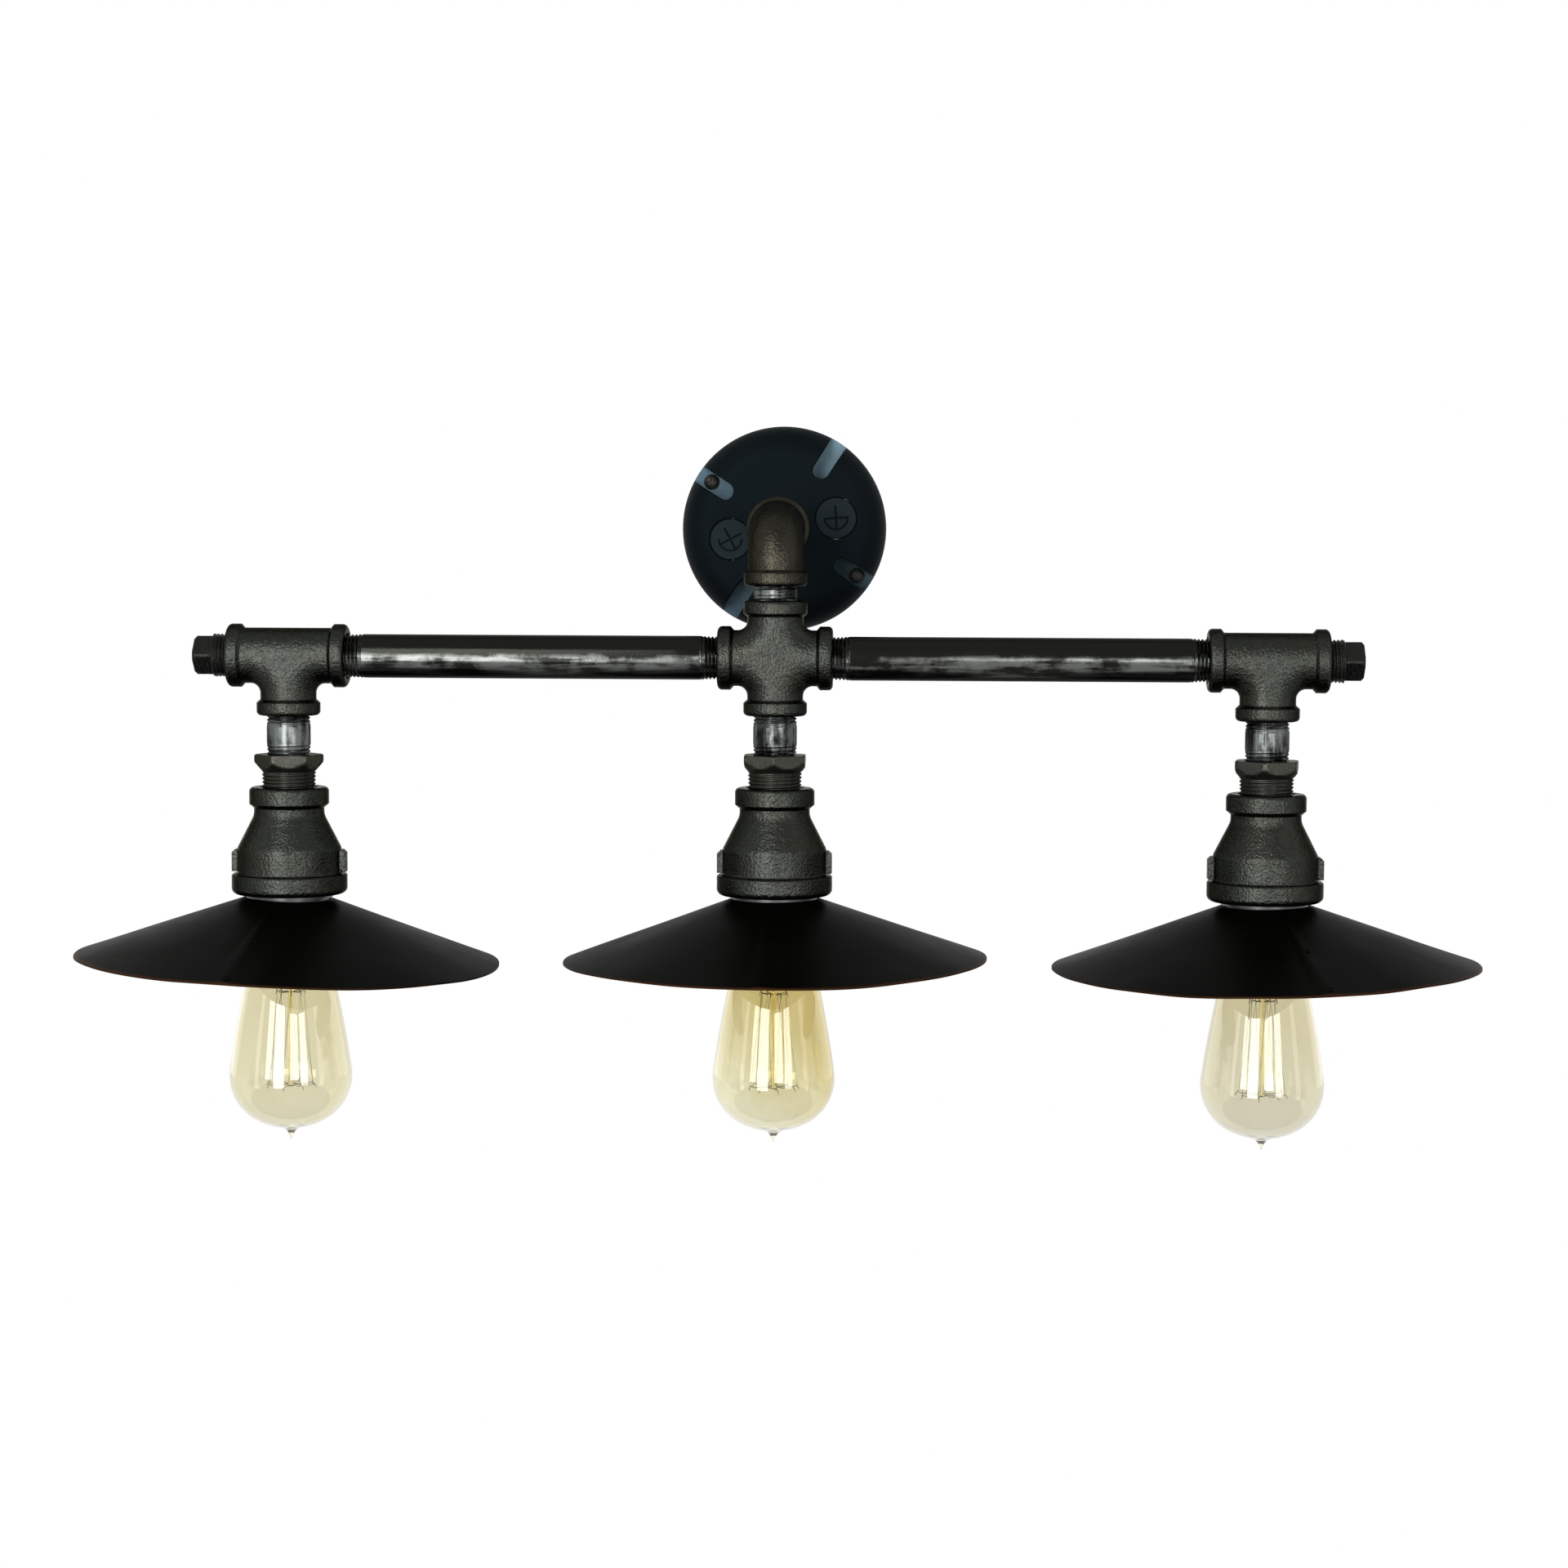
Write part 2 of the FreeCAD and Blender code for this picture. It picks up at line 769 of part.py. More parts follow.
def make_lamp(name, lamp):
    """One lamp, hung under its fitting."""
    reach = tee_reach if lamp["side"] else cross_reach
    drop = make_pipe(drop_length)
    pieces = {
        "drop_nipple": moved(drop, z=nipple_seat - thread_engagement),
        "hex_bushing": make_bushing(lamp["hex_turn"]),
        "bell_reducer": make_reducer(),
        "lampholder": make_lampholder(),
        "screw_shell": make_screw_shell(),
        "centre_contact": make_contact(),
        "terminal_screws": make_terminals(),
        "shade": make_shade(lamp["shade_tilt"]),
        "shade_ring": make_shade_ring(lamp["shade_tilt"]),
    }
    for piece, shape in make_bulb().items():
        pieces[piece] = moved(shape, z=bulb_top)
    x = lamp["side"] * lamp_spread
    z = cross_axis - reach - drop_face
    placed = {}
    for piece, shape in pieces.items():
        placed[name + "_" + piece] = moved(shape, x, pipe_plane, z)
    return placed


# ---- Wall cover, about the Z axis with its back at zero; turned to face the room afterwards
def polar(radius, angle, height=0.0):
    return FreeCAD.Vector(radius * cos(radians(angle)), radius * sin(radians(angle)), height)


def screw_places():
    return [polar(screw_spacing / 2, screw_angle + 180 * k) for k in range(2)]


def channel(angle, width, start, floor):
    """What a screw channel takes out: a slot with a round inner end that runs out at the rim."""
    length = cover_dia / 2 + 5 - start - width / 2
    slot = Part.makeBox(length, width, cover_height, FreeCAD.Vector(start + width / 2, -width / 2, floor))
    end = Part.makeCylinder(width / 2, cover_height, FreeCAD.Vector(start + width / 2, 0, floor))
    return turned(slot.fuse(end), Z, angle)


def make_cover():
    """The domed cover: a flat face, rounded slope and rim, with outlets and screw channels."""
    rim, wall, height = cover_dia / 2, cover_wall, cover_height
    dome = height - cover_rim
    flat = rim - dome
    shell = spun(outline(
        (0, 0),
        (rim, 0),
        (rim, cover_rim),
        arc_steps((flat, cover_rim), dome, 45, 90),
        (0, height),
    ))
    hollow = spun(outline(
        (0, -1),
        (rim - wall, -1),
        (rim - wall, cover_rim),
        arc_steps((flat, cover_rim), dome - wall, 45, 90),
        (0, height - wall),
    ))
    cover = shell.cut(hollow)
    outlets = [polar(0, 0)]
    outlets += [polar(outlet_spread, outlet_angle + 180 * k) for k in range(2)]
    for at in outlets:
        boss = rod(outlet_boss_dia, height - outlet_boss_depth, height - 0.5)
        cover = cover.fuse(moved(boss, at.x, at.y))
    for k in range(4):
        angle = screw_angle + 90 * k
        block = channel(angle, channel_width + 2 * cover_wall, channel_start - cover_wall, 0)
        cover = cover.fuse(block.common(shell))
    for k in range(4):
        angle = screw_angle + 90 * k
        cover = cover.cut(channel(angle, channel_width, channel_start, channel_floor))
    for at in screw_places():
        hole = rod(screw_dia + 2 * screw_clearance, -1, channel_floor + 1)
        cover = cover.cut(moved(hole, at.x, at.y))
    cover = cover.cut(threaded_mouth(height, outlet_boss_depth + 2))
    for at in outlets[1:]:
        bore = rod(pipe_dia + 2 * thread_fit, height - outlet_boss_depth - 2, height + 1)
        cover = cover.cut(moved(bore, at.x, at.y))
    return cover.removeSplitter().Solids[0]


def make_gasket():
    gasket = tube(cover_dia - 1, gasket_inner_dia, -gasket_sheet, 0)
    for at in screw_places():
        gasket = gasket.cut(moved(rod(screw_dia + 2 * screw_clearance, -gasket_sheet - 1, 1), at.x, at.y))
    return gasket


def make_cover_screws():
    """The two screws in opposite channels. Their thread starts past the wall face, below a plain neck."""
    screws = []
    for at in screw_places():
        low = channel_floor
        head = spun(outline(
            (0, low),
            (screw_head_dia / 2, low),
            (screw_head_dia / 2, low + 0.8),
            ((screw_head_dia * 0.36, low + screw_head_height * 0.86), (0, low + screw_head_height)),
        ))
        neck = rod(screw_neck_dia, -gasket_sheet, low)
        shank = rod(screw_dia, low - screw_length, -gasket_sheet)
        recess = Part.makeBox(4.6, 0.9, 2, FreeCAD.Vector(-2.3, -0.45, low + screw_head_height - 1.6))
        screw = head.fuse(neck).fuse(shank).cut(recess).cut(turned(recess, Z, 90))
        screws.append(moved(screw, at.x, at.y))
    return Part.makeCompound(screws)


def make_closure_plug(turn):
    """A closure plug screwed flush into a spare outlet, with a cross slot for the driver."""
    top = cover_height - 0.4
    plug = spun(outline(
        (0, top - closure_depth),
        (pipe_dia / 2, top - closure_depth),
        (pipe_dia / 2, top - 0.6),
        (pipe_dia / 2 - 0.6, top),
        (0, top),
    ))
    slot = Part.makeBox(closure_slot_length, closure_slot, 3,
                        FreeCAD.Vector(-closure_slot_length / 2, -closure_slot / 2, top - 1.2))
    slots = slot.fuse(turned(slot, Z, 90))
    arc = tube(closure_arc_dia + closure_slot, closure_arc_dia - closure_slot, top - 0.8, top + 1)
    lower_half = Part.makeBox(30, 15, 40, FreeCAD.Vector(-15, -15, 0))
    return plug.cut(turned(slots, Z, turn)).cut(arc.common(lower_half))


def facing_room(shape):
    """Turns a piece drawn along +Z to stand on the wall plane and look along -Y."""
    return moved(turned(shape, X, 90), y=-gasket_sheet)


def build():
    nodes = {}
    nodes["wall_cover"] = facing_room(make_cover())
    nodes["cover_gasket"] = facing_room(make_gasket())
    nodes["cover_screws"] = facing_room(make_cover_screws())
    for name, angle, turn in (("right", outlet_angle, 4.0), ("left", outlet_angle + 180, 28.0)):
        at = polar(outlet_spread, angle)
        nodes[name + "_closure_plug"] = facing_room(moved(make_closure_plug(turn), at.x, at.y))
    wall_nipple = facing_room(make_pipe(wall_nipple_length))
    nodes["wall_nipple"] = moved(wall_nipple, y=-(cover_height - thread_engagement))
    nodes["elbow"] = moved(make_elbow(), y=pipe_plane)
    close_nipple = make_pipe(close_nipple_length)
    nodes["close_nipple"] = moved(close_nipple, 0, pipe_plane, -elbow_reach - close_gap - close_engagement)
    nodes["cross"] = moved(cast_fitting(("up", "right", "down", "left"), cross_reach), 0, pipe_plane, cross_axis)
    arm = turned(make_pipe(arm_length), Y, 90)
    arm_start = cross_reach - arm_engagement
    nodes["right_arm"] = moved(arm, arm_start, pipe_plane, cross_axis)
    nodes["left_arm"] = moved(arm, -arm_start - arm_length, pipe_plane, cross_axis)
    tee = cast_fitting(("right", "down", "left"), tee_reach)
    end_plug = make_end_plug()
    for name, side in (("left", -1), ("right", 1)):
        x = side * lamp_spread
        nodes[name + "_tee"] = moved(tee, x, pipe_plane, cross_axis)
        plug = turned(end_plug, Y, side * 90)
        nodes[name + "_end_plug"] = moved(plug, x + side * tee_reach, pipe_plane, cross_axis)
    for name, lamp in LAMPS.items():
        nodes.update(make_lamp(name, lamp))
    return nodes


def main():
    os.makedirs("parts", exist_ok=True)
    for name, shape in build().items():
        shape.exportStep("parts/" + name + ".step")


main()
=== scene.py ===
"""The looks of the industrial pipe wall light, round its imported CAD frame. Metres, +Z up, room on -Y."""
import json
from math import atan2, cos, degrees, pi, radians, sin, tan

import bmesh
import bpy
from mathutils import Matrix, Vector, noise


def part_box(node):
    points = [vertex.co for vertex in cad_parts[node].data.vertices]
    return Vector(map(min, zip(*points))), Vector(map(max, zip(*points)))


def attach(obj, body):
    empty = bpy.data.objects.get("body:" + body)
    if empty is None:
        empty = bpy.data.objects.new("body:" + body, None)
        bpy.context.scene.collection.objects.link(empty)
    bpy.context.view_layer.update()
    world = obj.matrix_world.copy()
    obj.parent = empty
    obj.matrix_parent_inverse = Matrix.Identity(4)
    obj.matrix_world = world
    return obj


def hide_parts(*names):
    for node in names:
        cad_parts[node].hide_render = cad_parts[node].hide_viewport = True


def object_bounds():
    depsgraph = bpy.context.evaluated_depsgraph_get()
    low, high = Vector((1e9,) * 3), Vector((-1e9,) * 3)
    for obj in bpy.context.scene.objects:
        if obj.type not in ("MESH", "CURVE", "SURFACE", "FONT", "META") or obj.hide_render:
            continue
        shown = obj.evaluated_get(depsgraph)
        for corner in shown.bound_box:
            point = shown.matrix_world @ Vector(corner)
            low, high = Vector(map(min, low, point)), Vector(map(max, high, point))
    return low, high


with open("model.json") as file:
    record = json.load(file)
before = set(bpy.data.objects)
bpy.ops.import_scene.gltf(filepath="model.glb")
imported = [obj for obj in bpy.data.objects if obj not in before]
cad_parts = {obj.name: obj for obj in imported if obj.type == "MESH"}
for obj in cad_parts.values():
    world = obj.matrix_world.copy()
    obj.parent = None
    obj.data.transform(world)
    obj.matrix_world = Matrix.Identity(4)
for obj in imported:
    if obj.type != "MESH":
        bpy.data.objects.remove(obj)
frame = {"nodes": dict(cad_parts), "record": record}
cad_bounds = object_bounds()

MM = 0.001
LAMPS = ("left", "centre", "right")
FIXTURE = "fixture"

# ---- Real sizes that the pieces below share, in metres
PIPE_R = 10.67 * MM
PIPE_BORE_R = 7.9 * MM
PITCH = 1.814 * MM
THREAD_DEPTH = 0.85 * MM
THREAD_LENGTH = 19.8 * MM
TAPER = 1 / 32
BUSHING_R = 13.335 * MM
CHANNEL_FLOOR = 7.0 * MM
SHADE_R = 103.7 * MM
BULB_R = 30.0 * MM

X_AXIS, Y_AXIS, Z_AXIS = Vector((1, 0, 0)), Vector((0, 1, 0)), Vector((0, 0, 1))


# ==== Meshes
def to_object(name, verts, faces, sharp=40):
    """A smooth-shaded mesh object whose edges stay sharp past the given angle."""
    mesh = bpy.data.meshes.new(name)
    mesh.from_pydata([tuple(v) for v in verts], [], faces)
    mesh.validate()
    bm = bmesh.new()
    bm.from_mesh(mesh)
    bmesh.ops.recalc_face_normals(bm, faces=bm.faces)
    bm.to_mesh(mesh)
    bm.free()
    mesh.shade_smooth()
    mesh.set_sharp_from_angle(angle=radians(sharp))
    obj = bpy.data.objects.new(name, mesh)
    bpy.context.collection.objects.link(obj)
    return obj


def grid_faces(rows, columns, wrap_rows=False, first=0):
    """Faces of a grid that closes round its columns, and round its rows too if asked."""
    faces = []
    for r in range(rows if wrap_rows else rows - 1):
        low, high = r * columns, (r + 1) % rows * columns
        for c in range(columns):
            d = (c + 1) % columns
            faces.append((first + low + c, first + low + d, first + high + d, first + high + c))
    return faces


def turned_body(name, rings, segments, place, closed=True, sharp=40):
    """Revolves rings about Z into a body in its place. A ring is (radius or function of angle, height)."""
    verts = []
    for radius, height in rings:
        for c in range(segments):
            angle = 2 * pi * c / segments
            r = radius(angle) if callable(radius) else radius
            verts.append(place @ Vector((r * cos(angle), r * sin(angle), height)))
    return to_object(name, verts, grid_faces(len(rings), segments, closed), sharp)


def along(axis, origin):
    """The transform that puts a piece drawn along +Z onto an axis through a point."""
    turn = Z_AXIS.rotation_difference(axis).to_matrix().to_4x4()
    return Matrix.Translation(origin) @ turn


def middle(name):
    """The middle of a CAD node's box."""
    low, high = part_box(name)
    return (low + high) / 2


def ride_and_replace(obj, body, *nodes):
    """Puts a piece on its body, in the place of CAD nodes."""
    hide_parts(*nodes)
    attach(obj, body)
    return obj


def slot_of(name):
    """The material slot that the record gives a CAD node."""
    for part in frame["record"]["subparts"]:
        if part["node"] == name:
            return part["material_slot"]
    return None


# ==== Threads
ROOT_FLAT, FLANK_SHARE = 0.12, 0.72
RUNOUT_PITCHES = 2.2
RINGS_PER_PITCH = 6
PLAIN_RING_STEP = 12 * MM
LEAST_PLAIN = 1 * MM


def ridge(phase):
    """The height of a thread's flank, from 0 in its root to 1 on its crest."""
    wave = abs(2 * (phase % 1.0) - 1)
    return min(1.0, max(0.0, (wave - ROOT_FLAT) / FLANK_SHARE))


def thread_radius(outer, length, height, angle, near, far):
    """The radius of a tapered, threaded bar. near and far are its threads' lengths from either end."""
    into = 0.0
    runout = 0.0
    for zone, distance in ((near, height), (far, length - height)):
        if zone and distance < zone:
            into = max(into, (zone - distance) * TAPER)
            runout = max(runout, min(1.0, (zone - distance) / (RUNOUT_PITCHES * PITCH)))
    cut = THREAD_DEPTH * runout * (1 - ridge(height / PITCH - angle / (2 * pi)))
    return outer - into - cut


def thread_heights(length, near, far):
    """Where a threaded bar needs rings: close together in the threads, few between them."""
    heights = [0.0]
    count = int(round(near / PITCH * RINGS_PER_PITCH))
    heights += [near * k / count for k in range(1, count + 1)] if count else []
    smooth = length - near - far
    if smooth > LEAST_PLAIN:
        inner = max(2, int(smooth / PLAIN_RING_STEP))
        heights += [near + smooth * k / inner for k in range(1, inner + 1)]
    count = int(round(far / PITCH * RINGS_PER_PITCH))
    start = length - far
    heights += [start + far * k / count for k in range(1, count + 1)] if count else []
    return heights


def pipe_piece(name, node, axis, near, far, outer=PIPE_R, bore=PIPE_BORE_R, segments=60):
    """A pipe or nipple with tapered threads at both ends, in the place of its CAD node."""
    low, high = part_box(node)
    length = (high - low).dot(axis)
    origin = (low + high) / 2 - axis * length / 2
    rings = [(bore, length), (bore, 0.0)]
    for h in thread_heights(length, near, far):
        rings.append((lambda a, h=h: thread_radius(outer, length, h, a, near, far), h))
    obj = turned_body(name, rings, segments, along(axis, origin), sharp=50)
    return ride_and_replace(obj, FIXTURE, node)


def polygon_radius(angle, sides, flats, turn):
    """How far a regular polygon's side stands from its middle, at an angle."""
    step = 2 * pi / sides
    local = (angle - turn + step / 2) % step - step / 2
    return flats / 2 / cos(local)


BEVEL_SLOPE = 1.6


def stock_rings(sides, flats, corner, turn, low, high, bevel_low, bevel_high):
    """The rings of a square or hexagon head whose corners are turned off to a cone at both ends."""
    rings = []
    for t in (0.0, 0.12, 0.3, 0.5, 0.7, 0.88, 1.0):
        h = low + (high - low) * t
        from_end = min(h - low, high - h)
        bevel = bevel_low if h - low < high - h else bevel_high
        lean = max(0.0, bevel - from_end * BEVEL_SLOPE)

        def radius(a, lean=lean):
            return min(polygon_radius(a, sides, flats, turn), corner - lean)

        rings.append((radius, h))
    return rings


# ==== Materials
# What metals reflect at grazing angles, kept low so that their edges stay dark before the white background.
EDGE_TINT = (0.24, 0.24, 0.19)
COATING_SHEEN = (0.55, 0.85, 1.0)


def material(name, color, metallic=0.0, roughness=0.5, **sockets):
    """A new material with its Principled shader's plain values set."""
    mat = bpy.data.materials.new(name)
    mat.use_nodes = True
    shader = mat.node_tree.nodes["Principled BSDF"]
    shader.inputs["Base Color"].default_value = (*color, 1)
    shader.inputs["Metallic"].default_value = metallic
    shader.inputs["Roughness"].default_value = roughness
    if metallic > 0.5:
        shader.inputs["Specular Tint"].default_value = (*EDGE_TINT, 1)
    for socket, value in sockets.items():
        shader.inputs[socket.replace("_", " ")].default_value = value
    return mat, mat.node_tree, shader


def node(tree, kind, **values):
    """A new shader node with its inputs or settings given by name."""
    made = tree.nodes.new(kind)
    for key, value in values.items():
        if key in made.inputs.keys():
            made.inputs[key].default_value = value
        else:
            setattr(made, key, value)
    return made


def place_coords(tree, scale=(1, 1, 1)):
    """The surface's own place in the frame, which moves with its body."""
    coords = node(tree, "ShaderNodeTexCoord")
    mapping = node(tree, "ShaderNodeMapping")
    mapping.inputs["Scale"].default_value = scale
    tree.links.new(coords.outputs["Object"], mapping.inputs["Vector"])
    return mapping.outputs["Vector"]


def own_xyz(tree):
    """The surface's own place as separate X, Y and Z."""
    coords = node(tree, "ShaderNodeTexCoord")
    split = node(tree, "ShaderNodeSeparateXYZ")
    tree.links.new(coords.outputs["Object"], split.inputs["Vector"])
    return split.outputs


def noise_of(tree, vector, scale, detail=3.0, rough=0.55):
    made = node(tree, "ShaderNodeTexNoise")
    made.inputs["Scale"].default_value = scale
    made.inputs["Detail"].default_value = detail
    made.inputs["Roughness"].default_value = rough
    tree.links.new(vector, made.inputs["Vector"])
    return made.outputs["Fac"]


def ramp(tree, value, stops):
    """A colour ramp. A stop is (place, colour)."""
    made = node(tree, "ShaderNodeValToRGB")
    elements = made.color_ramp.elements
    while len(elements) < len(stops):
        elements.new(0.5)
    for element, (at, color) in zip(elements, stops):
        element.position = at
        element.color = (*color, 1)
    tree.links.new(value, made.inputs["Fac"])
    return made.outputs["Color"]


def spread(tree, value, low, high, to_low, to_high):
    """Maps a value from one range to another."""
    made = node(tree, "ShaderNodeMapRange")
    made.inputs["From Min"].default_value = low
    made.inputs["From Max"].default_value = high
    made.inputs["To Min"].default_value = to_low
    made.inputs["To Max"].default_value = to_high
    tree.links.new(value, made.inputs["Value"])
    return made.outputs["Result"]


def mix_color(tree, factor, a, b, mode="MIX"):
    made = node(tree, "ShaderNodeMix", data_type="RGBA", blend_type=mode)
    for socket, value in ((made.inputs["Factor"], factor), (made.inputs[6], a), (made.inputs[7], b)):
        if isinstance(value, (tuple, float)):
            socket.default_value = (*value, 1) if isinstance(value, tuple) else value
        else:
            tree.links.new(value, socket)
    return made.outputs[2]


def math_of(tree, operation, a, b=None):
    made = node(tree, "ShaderNodeMath", operation=operation)
    for socket, value in zip(made.inputs, (a, b)):
        if value is None:
            continue
        if isinstance(value, (int, float)):
            socket.default_value = value
        else:
            tree.links.new(value, socket)
    return made.outputs["Value"]


def soft_edges(tree, radius):
    """Normals that round the edges of a piece that is modelled with sharp ones."""
    made = node(tree, "ShaderNodeBevel", samples=6)
    made.inputs["Radius"].default_value = radius
    return made.outputs["Normal"]


def bump(tree, shader, height, distance, strength=1.0, after=None):
    made = node(tree, "ShaderNodeBump")
    made.inputs["Strength"].default_value = strength
    made.inputs["Distance"].default_value = distance
    tree.links.new(height, made.inputs["Height"])
    if after:
        tree.links.new(after, made.inputs["Normal"])
    tree.links.new(made.outputs["Normal"], shader.inputs["Normal"])
    return made.outputs["Normal"]


def cast_iron(name, base, warm, rough=0.17, metal=0.95, skin=1.0):
    """Dark oiled malleable iron with a warm film in places. skin is how hammered and pebbled it is."""
    mat, tree, shader = material(name, base, metallic=metal, roughness=rough)
    place = place_coords(tree)
    lumps = noise_of(tree, place, 230, 2, 0.5)
    pebble = noise_of(tree, place, 820, 1, 0.5)
    fine = noise_of(tree, place, 1500, 2, 0.6)
    film = noise_of(tree, place, 45, 4, 0.6)
    grime = noise_of(tree, place, 300, 3, 0.6)
    tone = ramp(tree, film, [(0.38, base), (0.66, warm)])
    dark = spread(tree, grime, 0.38, 0.66, 0.30, 0.0)
    tree.links.new(mix_color(tree, dark, tone, tuple(c * 0.4 for c in base)), shader.inputs["Base Color"])
    tree.links.new(spread(tree, grime, 0.3, 0.7, rough + 0.06, rough - 0.04), shader.inputs["Roughness"])
    first = bump(tree, shader, lumps, 1.5 * MM, 0.08 * skin, after=soft_edges(tree, 0.8 * MM))
    second = bump(tree, shader, pebble, 0.8 * MM, 0.5 * skin, after=first)
    bump(tree, shader, fine, 0.25 * MM, 0.6 * skin, after=second)
    return mat


# How far the edges of the arms' painted highlight band wander
HIGHLIGHT_EDGE_WAVE = 1.2 * MM


def pipe_steel(name, dark, light, along_axis, rough=0.22, highlight_band_top=None):
    """Black steel pipe: grey steel under a mill film, with faint marks along its length.

    Where highlight_band_top is given, the lighter bare steel shows only in a band just under that height, a
    painted highlight along the pipe, and the film is whole above it and on the underside.
    """
    mat, tree, shader = material(name, dark, metallic=0.85, roughness=rough)
    stretch = [1.0, 1.0, 1.0]
    stretch["XYZ".index(along_axis)] = 0.10
    streaks = noise_of(tree, place_coords(tree, stretch), 300, 4, 0.62)
    patches = noise_of(tree, place_coords(tree), 42, 5, 0.62)
    grain = noise_of(tree, place_coords(tree), 1100, 3, 0.6)
    broad, narrow = math_of(tree, "MULTIPLY", patches, 0.6), math_of(tree, "MULTIPLY", streaks, 0.4)
    film = math_of(tree, "ADD", broad, narrow)
    bare_steel_and_highlight = spread(tree, film, 0.44, 0.53, 0, 1)
    if highlight_band_top is not None:
        # Painted highlight: the bare, lighter steel is kept to a band just under the pipe's axis, where its
        # highlight falls.
        height = own_xyz(tree)["Z"]
        wavy = math_of(tree, "ADD", height, spread(tree, streaks, 0.3, 0.7, -HIGHLIGHT_EDGE_WAVE, HIGHLIGHT_EDGE_WAVE))
        below_highlight_top = spread(tree, wavy, highlight_band_top - 0.8 * MM, highlight_band_top + 1.2 * MM, 1, 0)
        above_highlight_bottom = spread(tree, wavy, highlight_band_top - 9.5 * MM, highlight_band_top - 5.0 * MM, 0, 1)
        bare_steel_and_highlight = math_of(tree, "MULTIPLY", math_of(tree, "MULTIPLY", bare_steel_and_highlight, below_highlight_top), above_highlight_bottom)
    tree.links.new(mix_color(tree, bare_steel_and_highlight, dark, light), shader.inputs["Base Color"])
    tree.links.new(spread(tree, patches, 0.3, 0.7, rough - 0.05, rough + 0.09), shader.inputs["Roughness"])
    first = bump(tree, shader, streaks, 0.12 * MM, 0.4)
    bump(tree, shader, grain, 0.06 * MM, 0.4, after=first)
    return mat


# The top of the arms' painted highlight band, just above their axis
ARM_HIGHLIGHT_TOP_Z = middle("left_arm").z + 1.0 * MM
CAST = cast_iron("cast_iron", (0.025, 0.028, 0.025), (0.028, 0.028, 0.023))
CAST_WARM = cast_iron("cast_iron_warm", (0.021, 0.021, 0.017), (0.029, 0.026, 0.019))
BUSHING_IRON = cast_iron("bushing_iron", (0.040, 0.043, 0.037), (0.044, 0.043, 0.035), 0.30, 0.9, 0.3)
ARM_STEEL = pipe_steel("pipe_steel_x", (0.011, 0.0115, 0.010), (0.110, 0.116, 0.111), "X", 0.15, ARM_HIGHLIGHT_TOP_Z)
NIPPLE_STEEL = pipe_steel("pipe_steel_z", (0.011, 0.012, 0.0115), (0.105, 0.114, 0.112), "Z", 0.22)
WALL_STEEL = pipe_steel("pipe_steel_y", (0.015, 0.015, 0.013), (0.038, 0.038, 0.034), "Y", 0.28)
PLUG_STEEL = cast_iron("plug_iron", (0.012, 0.013, 0.012), (0.016, 0.016, 0.015), 0.20, 0.7)


def lay_over(tree, shader, where, tone):
    """Lays a colour over the shader's own, as strongly as where says."""
    plain = shader.inputs["Base Color"].links[0].from_socket
    tree.links.new(mix_color(tree, where, plain, tone), shader.inputs["Base Color"])


def coated(name, color, roughness, grain_scale, grain_depth, variation, shine=0.5, edge=0.0):
    """A satin or matt coating with a very fine orange peel and slow changes of tone."""
    mat, tree, shader = material(name, color, roughness=roughness, Specular_IOR_Level=shine)
    place = place_coords(tree)
    slow = noise_of(tree, place, 22, 4, 0.6)
    grain = noise_of(tree, place, grain_scale, 3, 0.6)
    lighter = tuple(c * (1 + variation) + 0.0003 for c in color)
    tree.links.new(ramp(tree, slow, [(0.35, color), (0.7, lighter)]), shader.inputs["Base Color"])
    uneven = spread(tree, slow, 0.3, 0.7, roughness - 0.05, roughness + 0.06)
    tree.links.new(uneven, shader.inputs["Roughness"])
    bump(tree, shader, grain, grain_depth, 0.4, after=soft_edges(tree, edge) if edge else None)
    return mat, tree, shader


COVER_BLACK = (0.0022, 0.0034, 0.0042)
CLOSURE_BLACK = (0.0060, 0.0085, 0.0100)
GROOVE_SHADE = (0.0002, 0.0002, 0.0002)
SHADE_BLACK = (0.0004, 0.0005, 0.0002)
# The brown of a thin band at the shade's rim
RIM_EDGE_BROWN = (0.030, 0.011, 0.004)
# The blue-grey of the channels' floors, less and more worn, in three tones of painted light: painted shade,
# painted light and a painted highlight
FLOOR_SHADED = ((0.014, 0.024, 0.030), (0.022, 0.036, 0.044))
FLOOR_LIT = ((0.066, 0.110, 0.138), (0.105, 0.160, 0.195))
FLOOR_HIGHLIGHT = ((0.120, 0.190, 0.230), (0.170, 0.255, 0.305))


